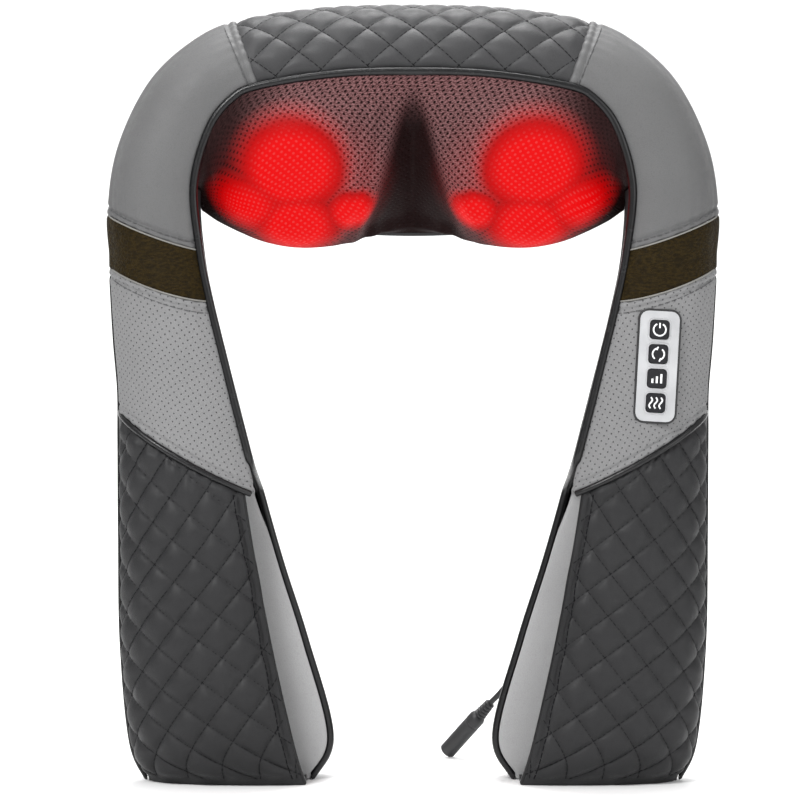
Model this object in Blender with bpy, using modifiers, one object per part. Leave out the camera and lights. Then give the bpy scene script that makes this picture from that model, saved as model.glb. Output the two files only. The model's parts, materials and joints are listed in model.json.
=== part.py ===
"""Shiatsu neck massager: a U of padded leather that hangs round the neck, with hand pockets at its two ends.

At the neck a mesh panel covers two heads of four massage nodes each. One motor turns both heads through
worms of opposite hand, so they knead towards each other. Metres, +Z up. The massager stands on the ends of
its arms and faces -Y, and +X is the side with the control plate.
"""
import math
from typing import NamedTuple

import bmesh
import bpy
import numpy as np
from mathutils import Matrix, Vector

NAME = "shiatsu_neck_massager"
GAP = 0.0003            # clearance between pieces that touch
MID_Y = -0.0086         # middle plane of the arms, which centres the whole object on Y
SIDES = (("left", -1), ("right", 1))

# Leather cover
QUILT_WALL = 0.0045
SMOOTH_WALL = 0.0028
POCKET_WALL = 0.0040
GUSSET_WALL = 0.0015
PIPING_RADIUS = 0.0019
PIPING_CLEARANCE = 0.0012
PAD_CLEARANCE = 0.0016
SEAM_GAP = 0.0010
HOUSING_DEPTH = 0.0062  # outer face of the hard rear housing, under the cover
HOUSING_WALL = 0.0024

# Massage unit, in its own frame: x across, s up the mesh panel, h out of it towards the neck
TILT = math.radians(39)
UNIT_Z = 0.375
HEAD_X = 0.068
PLATE_BACK = -0.0335
PLATE_THICKNESS = 0.0025
PLATE_FRONT = PLATE_BACK + PLATE_THICKNESS
MOTOR_H = -0.017
MOTOR_RADIUS = 0.013
MOTOR_HALF = 0.024
SHAFT_RADIUS = 0.0025
SHAFT_HALF = 0.098
BUSH_X = 0.093
WHEEL_TEETH = 36
WHEEL_PITCH_RADIUS = 0.024
WHEEL_TIP_RADIUS = 0.0253
WHEEL_ROOT_RADIUS = 0.0226
WHEEL_THICKNESS = 0.008
WORM_RADIUS = 0.0054
WORM_HALF = 0.012
WORM_LEAD = 2 * math.pi * WHEEL_PITCH_RADIUS / WHEEL_TEETH
MOTOR_S = WHEEL_TIP_RADIUS + 0.0004 + WORM_RADIUS
SPINDLE_RADIUS = 0.004
CARRIER_THICKNESS = 0.004
LAMP_H = -0.0088
LAMP_THICKNESS = 0.0016
# name, distance from the head's axis, direction, radius and height of each massage node
NODES = (
    ("large_upper", 0.026, 97, 0.0165, 0.025),
    ("large_lower", 0.026, -83, 0.0165, 0.025),
    ("small_inner", 0.032, 187, 0.0110, 0.021),
    ("small_outer", 0.032, 7, 0.0110, 0.021),
)
COVER_RADIUS = 0.0520   # the mesh panel's swelling over each head
COVER_FLOOR = -0.014
COVER_RISE = 0.0415
COVER_ARCH = 0.016
COVER_BLEND = 0.006
COVER_WALL = 0.0012

# Control plate, on the front of the right arm
CONTROL_X = 0.1458
CONTROL_Z = 0.2519
CONTROL_LEAN = math.radians(3.2)
CONTROL_SIZE = (0.0235, 0.066)
BUTTON_SIZE = 0.0112
BUTTON_PITCH = 0.0146
BUTTONS = ("power", "direction", "strength", "heat")

# Power lead, behind the right arm
RELIEF_PLACE = (0.100, 0.112)
CORD_DIAMETER = 0.0036
CORD_ROUTE = (
    (0.1000, 0.0478, 0.1120),
    (0.1000, 0.0540, 0.1112),
    (0.0965, 0.0620, 0.1040),
    (0.0880, 0.0670, 0.0905),
    (0.0775, 0.0690, 0.0750),
    (0.0670, 0.0710, 0.0595),
    (0.0575, 0.0733, 0.0462),
    (0.0502, 0.0784, 0.0377),
)
SOCKET_TOP = Vector((0.0500, 0.0785, 0.0375))
SOCKET_TIP = Vector((0.0225, 0.0990, 0.0038))
SOCKET_RADIUS = 0.0053


class Rib(NamedTuple):
    """One cross-section of the cover, from the inner front edge over the crest to the inner rear edge.

    A pull is how far the outline runs on before it turns: a share of the width, then a reach in depth.
    """
    crest: tuple
    front: tuple
    rear: tuple
    front_pull: tuple
    crest_pull: tuple
    rear_pull: tuple


ARM_PULLS = ((0.22, 0.014), (0.041, 0.042), (0.22, 0.014))
RIBS = (
    # foot and ankle of the arm
    Rib((0.1610, 0.000, 0.0000), (0.0645, -0.024, 0.0000), (0.0658, 0.024, 0.0000),
        (0.22, 0.006), (0.028, 0.030), (0.22, 0.006)),
    Rib((0.1712, 0.000, 0.0240), (0.0716, -0.031, 0.0250), (0.0538, 0.029, 0.0270),
        (0.22, 0.012), (0.038, 0.040), (0.22, 0.012)),
    # along the hand pocket, up to its slanted top seam
    Rib((0.1768, 0.000, 0.0850), (0.0850, -0.031, 0.0850), (0.0690, 0.030, 0.0850), *ARM_PULLS),
    Rib((0.1778, 0.000, 0.1550), (0.0930, -0.031, 0.1320), (0.0840, 0.029, 0.1320), *ARM_PULLS),
    Rib((0.1785, 0.000, 0.2260), (0.0940, -0.030, 0.1755), (0.0962, 0.029, 0.1750), *ARM_PULLS),
    # perforated panel, then the accent band's two edges
    Rib((0.1818, 0.000, 0.2700), (0.1085, -0.029, 0.2360), (0.1122, 0.030, 0.2360), *ARM_PULLS),
    Rib((0.1842, 0.000, 0.3135), (0.1220, -0.029, 0.2910), (0.1258, 0.032, 0.2910), *ARM_PULLS),
    Rib((0.1855, 0.000, 0.3450), (0.1280, -0.029, 0.3215), (0.1318, 0.036, 0.3235), *ARM_PULLS),
    # shoulder, round to the end of the mesh panel and the top corner
    Rib((0.1795, 0.002, 0.3850), (0.1315, -0.030, 0.3600), (0.1335, 0.043, 0.3610),
        (0.25, 0.014), (0.044, 0.050), (0.25, 0.014)),
    Rib((0.1620, 0.004, 0.4225), (0.1225, -0.030, 0.3940), (0.1200, 0.046, 0.3560),
        (0.35, 0.012), (0.040, 0.050), (0.30, 0.016)),
    Rib((0.1370, 0.006, 0.4480), (0.1090, -0.030, 0.4120), (0.1050, 0.047, 0.3500),
        (0.45, 0.008), (0.032, 0.046), (0.38, 0.019)),
    # seam of the quilted top, and the middle
    Rib((0.1080, 0.008, 0.4630), (0.0925, -0.030, 0.4200), (0.0880, 0.047, 0.3440),
        (0.50, 0.005), (0.025, 0.042), (0.45, 0.021)),
    Rib((0.0550, 0.008, 0.4712), (0.0460, -0.030, 0.4272), (0.0440, 0.047, 0.3385),
        (0.53, 0.004), (0.022, 0.040), (0.47, 0.021)),
    Rib((0.0000, 0.008, 0.4730), (0.0000, -0.030, 0.4288), (0.0000, 0.047, 0.3365),
        (0.53, 0.004), (0.022, 0.040), (0.47, 0.021)),
)
FOOT, POCKET_SEAM, BAND_LOW, BAND_HIGH, NECK_END, QUILT_SEAM, MIDDLE = 0, 4, 6, 7, 8, 11, 13

MATERIALS = {
    # name: colour, roughness, metallic
    "quilted_leather": ((0.045, 0.045, 0.047), 0.45, 0),
    "grey_leather": ((0.17, 0.17, 0.175), 0.45, 0),
    "perforated_leather": ((0.27, 0.27, 0.275), 0.50, 0),
    "brown_leather": ((0.022, 0.015, 0.006), 0.50, 0),
    "black_piping": ((0.012, 0.012, 0.012), 0.25, 0),
    "back_fabric": ((0.35, 0.35, 0.355), 0.80, 0),
    "foam": ((0.60, 0.58, 0.52), 0.90, 0),
    "mesh_fabric": ((0.06, 0.015, 0.015), 0.80, 0),
    "black_plastic": ((0.03, 0.03, 0.032), 0.45, 0),
    "white_plastic": ((0.70, 0.70, 0.68), 0.40, 0),
    "node_plastic": ((0.55, 0.02, 0.02), 0.30, 0),
    "silver_plastic": ((0.62, 0.62, 0.63), 0.30, 0),
    "circuit_board": ((0.02, 0.14, 0.05), 0.40, 0),
    "steel": ((0.55, 0.56, 0.58), 0.30, 1),
    "brass": ((0.70, 0.50, 0.22), 0.35, 1),
    "black_rubber": ((0.015, 0.015, 0.015), 0.50, 0),
}


# ---------------------------------------------------------------- scene helpers

def new_collection(name):
    collection = bpy.data.collections.new(name)
    bpy.context.scene.collection.children.link(collection)
    return collection


for old in list(bpy.data.objects):
    bpy.data.objects.remove(old, do_unlink=True)
PARTS = new_collection(NAME)
CUTTERS = new_collection("cutters")


def material(name):
    found = bpy.data.materials.get(name)
    if found:
        return found
    colour, roughness, metallic = MATERIALS[name]
    made = bpy.data.materials.new(name)
    made.use_nodes = True
    shader = made.node_tree.nodes["Principled BSDF"]
    shader.inputs["Base Color"].default_value = (*colour, 1)
    shader.inputs["Roughness"].default_value = roughness
    shader.inputs["Metallic"].default_value = metallic
    made.diffuse_color = (*colour, 1)
    return made


def add_object(name, data, slot=None, place=None):
    """Link a new object: a part when it has a material, or a cutter when it has none."""
    made = bpy.data.objects.new(name, data)
    (PARTS if slot else CUTTERS).objects.link(made)
    if slot:
        data.materials.append(material(slot))
    else:
        made.hide_render = True
        made.display_type = "WIRE"
    if place:
        made.matrix_world = place
    return made


def mesh_from(name, build):
    """A mesh filled by build(bm), with its faces turned outwards."""
    bm = bmesh.new()
    build(bm)
    bmesh.ops.recalc_face_normals(bm, faces=bm.faces)
    mesh = bpy.data.meshes.new(name)
    bm.to_mesh(mesh)
    bm.free()
    return mesh


def smooth(made, degrees=40):
    made.data.shade_smooth()
    made.data.set_sharp_from_angle(angle=math.radians(degrees))
    return made


def boolean(made, cutter, operation="DIFFERENCE"):
    step = made.modifiers.new(cutter.name, "BOOLEAN")
    step.operation = operation
    step.object = cutter
    return made


def frame_matrix(origin, z_axis, x_hint=(1, 0, 0)):
    """A frame at origin with +Z along z_axis and +X as near as it can be to x_hint."""
    z_axis = Vector(z_axis).normalized()
    y_axis = z_axis.cross(Vector(x_hint)).normalized()
    x_axis = y_axis.cross(z_axis)
    turn = Matrix((x_axis, y_axis, z_axis)).transposed().to_4x4()
    return Matrix.Translation(origin) @ turn


# ---------------------------------------------------------------- plain solids

def box(name, size, slot=None, place=None, centre=(0, 0, 0), bevel=0.0):
    def build(bm):
        bmesh.ops.create_cube(bm, size=1, matrix=Matrix.Translation(centre) @ Matrix.Diagonal((*size, 1)))
    made = add_object(name, mesh_from(name, build), slot, place)
    if bevel:
        edge = made.modifiers.new("rounded", "BEVEL")
        edge.width = bevel
        edge.segments = 2
    return made


def cylinder(name, radius, low, high, slot=None, place=None, segments=20):
    def build(bm):
        middle = Matrix.Translation((0, 0, (low + high) / 2))
        bmesh.ops.create_cone(bm, cap_ends=True, segments=segments, radius1=radius, radius2=radius,
                              depth=high - low, matrix=middle)
    return add_object(name, mesh_from(name, build), slot, place)


def turned(name, profile, slot=None, place=None, steps=20, closed=False):
    """A profile of (radius, height) points, top to bottom down its outer side, turned about Z."""
    mesh = bpy.data.meshes.new(name)
    edges = [(i, i + 1) for i in range(len(profile) - 1)]
    if closed:
        edges.append((len(profile) - 1, 0))
    mesh.from_pydata([(r, 0, z) for r, z in profile], edges, [])
    made = add_object(name, mesh, slot, place)
    screw = made.modifiers.new("turned", "SCREW")
    screw.steps = screw.render_steps = steps
    screw.use_merge_vertices = True
    screw.merge_threshold = 0.00001
    screw.use_smooth_shade = True
    return made


def ring(name, inner, outer, low, high, slot, place, steps=20):
    profile = ((inner, high), (outer, high), (outer, low), (inner, low))
    return turned(name, profile, slot, place, steps, closed=True)


def flat_piece(name, outlines, low, high, slot=None, place=None):
    """A flat outline with any holes, extruded from low to high along its Z."""
    curve = bpy.data.curves.new(name, "CURVE")
    curve.dimensions = "2D"
    curve.fill_mode = "BOTH"
    curve.extrude = (high - low) / 2
    for outline in outlines:
        spline = curve.splines.new("POLY")
        spline.points.add(len(outline) - 1)
        for point, (x, y) in zip(spline.points, outline):
            point.co = (x, y, 0, 1)
        spline.use_cyclic_u = True
    lift = Matrix.Translation((0, 0, (low + high) / 2))
    return add_object(name, curve, slot, (place or Matrix.Identity(4)) @ lift)


def circle(radius, segments=20, centre=(0, 0)):
    turns = [2 * math.pi * i / segments for i in range(segments)]
    return [(centre[0] + radius * math.cos(a), centre[1] + radius * math.sin(a)) for a in turns]


def rounded_rectangle(width, height, radius, centre=(0, 0), segments=4):
    points = []
    for corner, (sx, sy) in enumerate(((1, 1), (-1, 1), (-1, -1), (1, -1))):
        cx = centre[0] + sx * (width / 2 - radius)
        cy = centre[1] + sy * (height / 2 - radius)
        for i in range(segments + 1):
            angle = math.pi / 2 * (corner + i / segments)
            points.append((cx + radius * math.cos(angle), cy + radius * math.sin(angle)))
    return points


def solid_mesh(made):
    """Turn a curve object into a welded mesh object, so that it can be cut or joined."""
    bpy.context.view_layer.update()
    evaluated = made.evaluated_get(bpy.context.evaluated_depsgraph_get())
    mesh = bpy.data.meshes.new_from_object(evaluated)
    bm = bmesh.new()
    bm.from_mesh(mesh)
    bmesh.ops.remove_doubles(bm, verts=bm.verts, dist=0.00001)
    bmesh.ops.recalc_face_normals(bm, faces=bm.faces)
    bm.to_mesh(mesh)
    bm.free()
    name, place, curve = made.name, made.matrix_world.copy(), made.data
    slot = curve.materials[0].name if curve.materials else None
    mesh.materials.clear()
    bpy.data.objects.remove(made)
    bpy.data.curves.remove(curve)
    return add_object(name, mesh, slot, place)


def catmull_rom(rows, t):
    """The smooth curve through rows, at row number t; its ends run on straight."""
    last = len(rows) - 1
    i = min(max(int(t), 0), last - 1)
    f = t - i
    before = rows[i - 1] if i else 2 * rows[0] - rows[1]
    after = rows[i + 2] if i + 2 <= last else 2 * rows[last] - rows[last - 1]
    a, b = rows[i], rows[i + 1]
    return 0.5 * (2 * a + (b - before) * f + (2 * before - 5 * a + 4 * b - after) * f ** 2
                  + (3 * a - before - 3 * b + after) * f ** 3)


def tube(name, points, radius, slot, sides=6):
    curve = bpy.data.curves.new(name, "CURVE")
    curve.dimensions = "3D"
    curve.bevel_depth = radius
    curve.bevel_resolution = (sides - 4) // 2
    curve.use_fill_caps = True
    spline = curve.splines.new("POLY")
    spline.points.add(len(points) - 1)
    for point, place in zip(spline.points, points):
        point.co = (*place, 1)
    return add_object(name, curve, slot)


# ---------------------------------------------------------------- cover surface

def rib_numbers():
    """All ribs as rows of numbers, from the right foot over the middle to the left foot."""
    right = []
    for rib in RIBS:
        places = [(x, y + MID_Y, z) for x, y, z in (rib.crest, rib.front, rib.rear)]
        right.append([n for group in (*places, rib.front_pull, rib.crest_pull, rib.rear_pull) for n in group])
    mirror = np.array([-1, 1, 1] * 3 + [1] * 6)
    right = np.array(right)
    return np.vstack([right, right[-2::-1] * mirror])


RIB_NUMBERS = rib_numbers()
FAR_END = 2 * MIDDLE


def bezier(a, b, c, d, t):
    return a * (1 - t) ** 3 + 3 * b * t * (1 - t) ** 2 + 3 * c * t ** 2 * (1 - t) + d * t ** 3


def edge_points(u):
    """Crest, front edge and rear edge of the cover at rib number u."""
    row = catmull_rom(RIB_NUMBERS, u)
    return row[0:3], row[3:6], row[6:9]


def cover_point(u, v):
    """Outer face of the cover: v runs from 0, the front edge, over 0.5, the crest, to 1, the rear edge."""
    row = catmull_rom(RIB_NUMBERS, u)
    crest, front, rear = row[0:3], row[3:6], row[6:9]
    front_share, front_reach, crest_fore, crest_aft, rear_share, rear_reach = row[9:15]
    across = np.array([1, 0, 1])
    depth = np.array([0, 1, 0])
    if v <= 0.5:
        leaving = front + (crest - front) * across * front_share - depth * front_reach
        return bezier(front, leaving, crest - depth * crest_fore, crest, 2 * v)
    arriving = rear + (crest - rear) * across * rear_share + depth * rear_reach
    return bezier(crest, crest + depth * crest_aft, arriving, rear, 2 * v - 1)


def cover_normal(u, v):
    step = 0.01
    along = cover_point(min(u + step, FAR_END), v) - cover_point(max(u - step, 0), v)
    round_section = cover_point(u, min(v + step, 1)) - cover_point(u, max(v - step, 0))
    normal = np.cross(round_section, along)
    return normal / np.linalg.norm(normal)


def under_cover(u, v, depth):
    return cover_point(u, v) - cover_normal(u, v) * depth


def spread(low, high, count):
    return [low + (high - low) * i / count for i in range(count + 1)]


def add_grid(bm, rows):
    """Vertices for rows of points."""
    return [[bm.verts.new(point) for point in row] for row in rows]


def join_rows(bm, first, second, closed=False):
    count = len(first)
    for i in range(count if closed else count - 1):
        j = (i + 1) % count
        bm.faces.new((first[i], first[j], second[j], second[i]))


def sheet_solid(name, outer, inner, slot=None):
    """A closed solid between two grids of points of the same size."""
    def build(bm):
        top, bottom = add_grid(bm, outer), add_grid(bm, inner)
        for grid in (top, bottom):
            for first, second in zip(grid, grid[1:]):
                join_rows(bm, first, second)
        for i in (0, -1):
            join_rows(bm, top[i], bottom[i])
            join_rows(bm, [row[i] for row in top], [row[i] for row in bottom])
    return smooth(add_object(name, mesh_from(name, build), slot))


def loft_solid(name, rings, slot=None):
    """A closed solid through rings of points, each end closed by a fan."""
    def build(bm):
        loops = add_grid(bm, rings)
        for first, second in zip(loops, loops[1:]):
            join_rows(bm, first, second, closed=True)
        for loop in (loops[0], loops[-1]):
            hub = bm.verts.new(sum((v.co for v in loop), Vector()) / len(loop))
            for a, b in zip(loop, loop[1:] + loop[:1]):
                bm.faces.new((a, b, hub))
    return smooth(add_object(name, mesh_from(name, build), slot))


def arm_range(side, low, high):
    """A stretch of the right arm's rib numbers, or the same stretch on the left arm."""
    return (low, high) if side > 0 else (FAR_END - high, FAR_END - low)


def cover_panel(name, low, high, wall, slot, along, around=11, v_low=0.035, v_high=0.965):
    """A panel of the cover between two seams, given by rib numbers."""
    stations = spread(low, high, along)
    turns = spread(v_low, v_high, around)
    outer = [[cover_point(u, v) for v in turns] for u in stations]
    inner = [[under_cover(u, v, wall) for v in turns] for u in stations]
    return sheet_solid(name, outer, inner, slot)


# ---------------------------------------------------------------- soft parts

def seam_step(u):
    """Rib numbers that a seam gap takes up near rib u."""
    here, there = cover_point(u, 0.5), cover_point(u + 0.1, 0.5)
    return 0.1 * SEAM_GAP / np.linalg.norm(there - here)


def make_cover_panels():
    trim = seam_step(QUILT_SEAM)
    cover_panel("top_quilt_panel", QUILT_SEAM + trim, FAR_END - QUILT_SEAM - trim, QUILT_WALL,
                "quilted_leather", along=10)
    stretches = (
        ("shoulder_panel", BAND_HIGH, QUILT_SEAM, "grey_leather", 8),
        ("accent_band", BAND_LOW, BAND_HIGH, "brown_leather", 2),
        ("perforated_panel", POCKET_SEAM, BAND_LOW, "perforated_leather", 4),
    )
    for side_name, side in SIDES:
        for title, low, high, slot, along in stretches:
            ends = arm_range(side, low + seam_step(low), high - seam_step(high))
            cover_panel(f"{side_name}_{title}", *ends, SMOOTH_WALL, slot, along)


def arm_ring(u, depth, v_low=0.09, around=11):
    """The outline of the arm's filling, depth under the cover."""
    return [under_cover(u, v, depth) for v in spread(v_low, 1 - v_low, around)]


def make_arm_pad(side_name, side):
    trim = seam_step(POCKET_SEAM)
    low, high = arm_range(side, POCKET_SEAM + trim, NECK_END - 0.05)
    rings = [arm_ring(u, SMOOTH_WALL + PAD_CLEARANCE) for u in spread(low, high, 8)]
    return loft_solid(f"{side_name}_arm_pad", rings, "foam")


def make_gusset(side_name, side):
    """The strip that closes the inner face of the upper arm, between the two rows of piping."""
    low, high = arm_range(side, POCKET_SEAM + 0.45, NECK_END - 0.35)
    outer, inner = [], []
    for u in spread(low, high, 5):
        _, front, rear = edge_points(u)
        inwards = np.array([-side, 0, -0.4]) / math.hypot(1, 0.4)
        row = [front + (rear - front) * w + inwards * 0.003 * math.sin(math.pi * w) for w in spread(0.12, 0.88, 4)]
        outer.append(row)
        inner.append([point - inwards * GUSSET_WALL for point in row])
    return sheet_solid(f"{side_name}_gusset", outer, inner, "black_piping")


POCKET_FLOOR = 0.004
SHARED_PLANE = MID_Y + GAP / 2   # the lined back pad starts behind this plane, the pocket in front of it


def make_pocket(side_name, side):
    """The quilted hand pocket: closed at its outer side and foot, open at its inner side."""
    trim = seam_step(POCKET_SEAM)
    low, high = arm_range(side, FOOT, POCKET_SEAM - trim)
    rings, hollow = [], []
    turns = spread(0.0, 0.5, 8)
    for u in spread(low, high, 8):
        crest, front, _ = edge_points(u)
        outline = [cover_point(u, v) for v in turns]
        back = np.array([front[0], SHARED_PLANE - GAP, front[2]])
        crest_back = outline[-1] * (1, 0, 1) + (0, SHARED_PLANE - GAP, 0)
        rings.append(outline[:-1] + [crest_back, back])
    for u in spread(low, high, 8):
        cut = [under_cover(u, v, POCKET_WALL) for v in turns]
        cut[-1] = cut[-1] * (1, 0, 1) + (0, MID_Y, 0)
        mouth = cut[0] - (0.03 * side, 0.0, 0.0)
        behind = np.array([0, 0.02, 0])
        hollow.append([mouth] + cut[:-1] + [cut[-1] + behind, mouth * (1, 0, 1) + (0, MID_Y + 0.02, 0)])
    foot = 0 if side > 0 else -1
    top = -1 - foot
    hollow[foot] = [point * (1, 1, 0) + (0, 0, POCKET_FLOOR) for point in hollow[foot]]
    hollow[top] = [point + (0, 0, 0.012) for point in hollow[top]]
    pocket = loft_solid(f"{side_name}_pocket_panel", rings, "quilted_leather")
    cutter = loft_solid(f"{side_name}_pocket_hollow", hollow)
    return boolean(pocket, cutter)


def make_back_pad(side_name, side):
    """The lined pad behind the hand pocket."""
    trim = seam_step(POCKET_SEAM)
    low, high = arm_range(side, FOOT, POCKET_SEAM - trim)
    rings = []
    for u in spread(low, high, 8):
        _, _, rear = edge_points(u)
        outline = [cover_point(u, v) for v in spread(0.5, 1.0, 8)]
        outline[0] = outline[0] * (1, 0, 1) + (0, SHARED_PLANE + GAP, 0)
        rings.append(outline + [np.array([rear[0], SHARED_PLANE + GAP, rear[2]])])
    return loft_solid(f"{side_name}_back_pad", rings, "back_fabric")


def make_outer_piping(side_name, side):
    """Piping along the arm's outer edge, from the accent band to the foot."""
    points = []
    for u in spread(0.12, BAND_LOW - 0.1, 20):
        station = u if side > 0 else FAR_END - u
        out = cover_normal(station, 0.5)
        points.append(cover_point(station, 0.5) + out * (PIPING_RADIUS * 0.75 + GAP))
    return tube(f"{side_name}_outer_piping", points, PIPING_RADIUS * 0.75, "black_piping")


def make_piping():
    """Piping along the front and the rear inner edge, each in one length from foot to foot."""
    stations = spread(0.15, FAR_END - 0.15, 76)
    front, rear = [], []
    for u in stations:
        _, front_edge, rear_edge = edge_points(u)
        from_foot = min(u, FAR_END - u)
        rise = min(max((from_foot - POCKET_SEAM) / 0.4, 0), 1)
        rise = rise * rise * (3 - 2 * rise)
        inwards = np.array([-math.copysign(PIPING_RADIUS + PIPING_CLEARANCE, rear_edge[0]), 0, 0])
        lining_edge = np.array([rear_edge[0], SHARED_PLANE + 0.004, rear_edge[2]]) + inwards
        front.append(lining_edge + (front_edge - lining_edge) * rise)
        clear = (1 - rise) * inwards
        rear.append(rear_edge + clear)
    tube("front_piping", front, PIPING_RADIUS, "black_piping")
    tube("rear_piping", rear, PIPING_RADIUS, "black_piping")


# ---------------------------------------------------------------- massage unit

UNIT = Matrix.Translation((0, MID_Y + 0.0065, UNIT_Z)) @ Matrix((
    (1, 0, 0), (0, -math.sin(TILT), -math.cos(TILT)), (0, math.cos(TILT), -math.sin(TILT)))).to_4x4()
UNIT_BACK = np.array(UNIT.inverted())


def in_unit(x, s, h=0.0):
    return UNIT @ Matrix.Translation((x, s, h))


def along_shaft(x=0.0):
    """The shaft's frame: its Z runs along +X."""
    return in_unit(x, MOTOR_S, MOTOR_H) @ Matrix.Rotation(math.pi / 2, 4, "Y")


def make_rear_housing():
    """Hard shell under the neck's cover, which carries the base plate."""
    reach = 0.25
    stations = spread(NECK_END + reach, FAR_END - NECK_END - reach, 16)
    turns = spread(0.07, 0.93, 10)
    outer = [[under_cover(u, v, HOUSING_DEPTH) for v in turns] for u in stations]
    inner = [[under_cover(u, v, HOUSING_DEPTH + HOUSING_WALL) for v in turns] for u in stations]
    return sheet_solid("rear_housing", outer, inner, "black_plastic")


def make_base_plate():
    """Plate across the unit, with two shaft posts, four lamp posts and a hole for each spindle bush."""
    half_width, low_s, high_s = 0.106, -0.020, 0.046
    plate = box("base_plate", (2 * half_width, high_s - low_s, PLATE_THICKNESS), "black_plastic", UNIT,
                (0, (low_s + high_s) / 2, PLATE_BACK + PLATE_THICKNESS / 2))
    for side_name, side in SIDES:
        post = box(f"{side_name}_shaft_post", (0.007, 0.018, 0.0215), None, UNIT,
                   (side * BUSH_X, MOTOR_S, PLATE_FRONT - 0.001 + 0.01075))
        boolean(plate, post, "UNION")
        for end in (-1, 1):
            stand = cylinder(f"{side_name}_lamp_post_{end + 1}", 0.0022, PLATE_FRONT - 0.001,
                             LAMP_H - LAMP_THICKNESS / 2 - GAP, None,
                             in_unit(side * HEAD_X + end * 0.0246, -0.0172), 10)
            boolean(plate, stand, "UNION")
        bore = cylinder(f"{side_name}_bush_bore", 0.0073, PLATE_BACK - 0.002, PLATE_FRONT + 0.002, None,
                        in_unit(side * HEAD_X, 0), 24)
        boolean(plate, bore)
        seat = cylinder(f"{side_name}_shaft_bore", 0.0053, -0.006, 0.006, None, along_shaft(side * BUSH_X), 24)
        boolean(plate, seat)
    return plate


def make_motor():
    bore = SHAFT_RADIUS + 0.0004
    wall = 0.0015
    outline = (
        (bore, MOTOR_HALF), (MOTOR_RADIUS, MOTOR_HALF), (MOTOR_RADIUS, -MOTOR_HALF), (bore, -MOTOR_HALF),
        (bore, wall - MOTOR_HALF), (MOTOR_RADIUS - wall, wall - MOTOR_HALF),
        (MOTOR_RADIUS - wall, MOTOR_HALF - wall), (bore, MOTOR_HALF - wall),
    )
    turned("motor_can", outline, "steel", along_shaft(), 24, closed=True)
    cylinder("drive_shaft", SHAFT_RADIUS, -SHAFT_HALF, SHAFT_HALF, "steel", along_shaft(), 12)


def make_motor_clamp():
    """Strap over the motor, with a foot on the base plate at each side."""
    inner, outer, foot, width = MOTOR_RADIUS + GAP, MOTOR_RADIUS + 0.0022, 0.021, 0.012
    floor = PLATE_FRONT + GAP - MOTOR_H
    half_turn = [math.pi * i / 10 for i in range(11)]
    outline = [(outer * math.cos(a), outer * math.sin(a)) for a in half_turn]
    outline += [(-outer, floor + 0.002), (-foot, floor + 0.002), (-foot, floor), (-inner, floor)]
    outline += [(inner * math.cos(a), inner * math.sin(a)) for a in reversed(half_turn)]
    outline += [(inner, floor), (foot, floor), (foot, floor + 0.002), (outer, floor + 0.002)]
    upright = in_unit(0, MOTOR_S, MOTOR_H) @ Matrix(((0, 0, 1, 0), (1, 0, 0, 0), (0, 1, 0, 0), (0, 0, 0, 1)))
    return flat_piece("motor_clamp", [outline], -width / 2, width / 2, "steel", upright)


def make_worm(side_name, side):
    """One-start worm: an off-centre circle twisted along the shaft, left-handed on the right side."""
    throw, segments, per_turn = 0.0008, 10, 8
    steps = round(2 * WORM_HALF / WORM_LEAD * per_turn)
    bore = SHAFT_RADIUS + GAP
    outer, inner = [], []
    for i in range(steps + 1):
        z = -WORM_HALF + 2 * WORM_HALF * i / steps
        turn = -side * 2 * math.pi * i / per_turn
        centre = (throw * math.cos(turn), throw * math.sin(turn))
        outer.append([(x, y, z) for x, y in circle(WORM_RADIUS - throw, segments, centre)])
        inner.append([(x, y, z) for x, y in circle(bore, segments)])

    def build(bm):
        skin, hole = add_grid(bm, outer), add_grid(bm, (inner[0], inner[-1]))
        for first, second in zip(skin, skin[1:]):
            join_rows(bm, first, second, closed=True)
        join_rows(bm, hole[0], hole[1], closed=True)
        join_rows(bm, skin[0], hole[0], closed=True)
        join_rows(bm, skin[-1], hole[1], closed=True)
    name = f"{side_name}_worm"
    return smooth(add_object(name, mesh_from(name, build), "brass", along_shaft(side * HEAD_X)))


def wheel_outline():
    """Trapezoid teeth on a wheel, four points to a tooth."""
    pitch = 2 * math.pi / WHEEL_TEETH
    points = []
    for tooth in range(WHEEL_TEETH):
        for offset, radius in ((-0.32, WHEEL_ROOT_RADIUS), (-0.14, WHEEL_TIP_RADIUS),
                               (0.14, WHEEL_TIP_RADIUS), (0.32, WHEEL_ROOT_RADIUS)):
            angle = (tooth + offset) * pitch
            points.append((radius * math.cos(angle), radius * math.sin(angle)))
    return points


def carrier_outline():
    """Four-lobed plate, a lobe under each massage node."""
    points = []
    for i in range(48):
        angle = 2 * math.pi * i / 48
        radius = 0.0330 + 0.0075 * math.cos(4 * (angle - math.radians(7)))
        points.append((radius * math.cos(angle), radius * math.sin(angle)))
    return points


def node_profile(radius, height):
    """Dome of a massage node: a short skirt, then a rounded top."""
    skirt = 0.34 * height
    dome = [(radius * math.sin(a), skirt + (height - skirt) * math.cos(a))
            for a in (math.pi / 2 * i / 5 for i in range(6))]
    return [*dome, (radius * 0.93, GAP), (0, GAP)]


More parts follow.
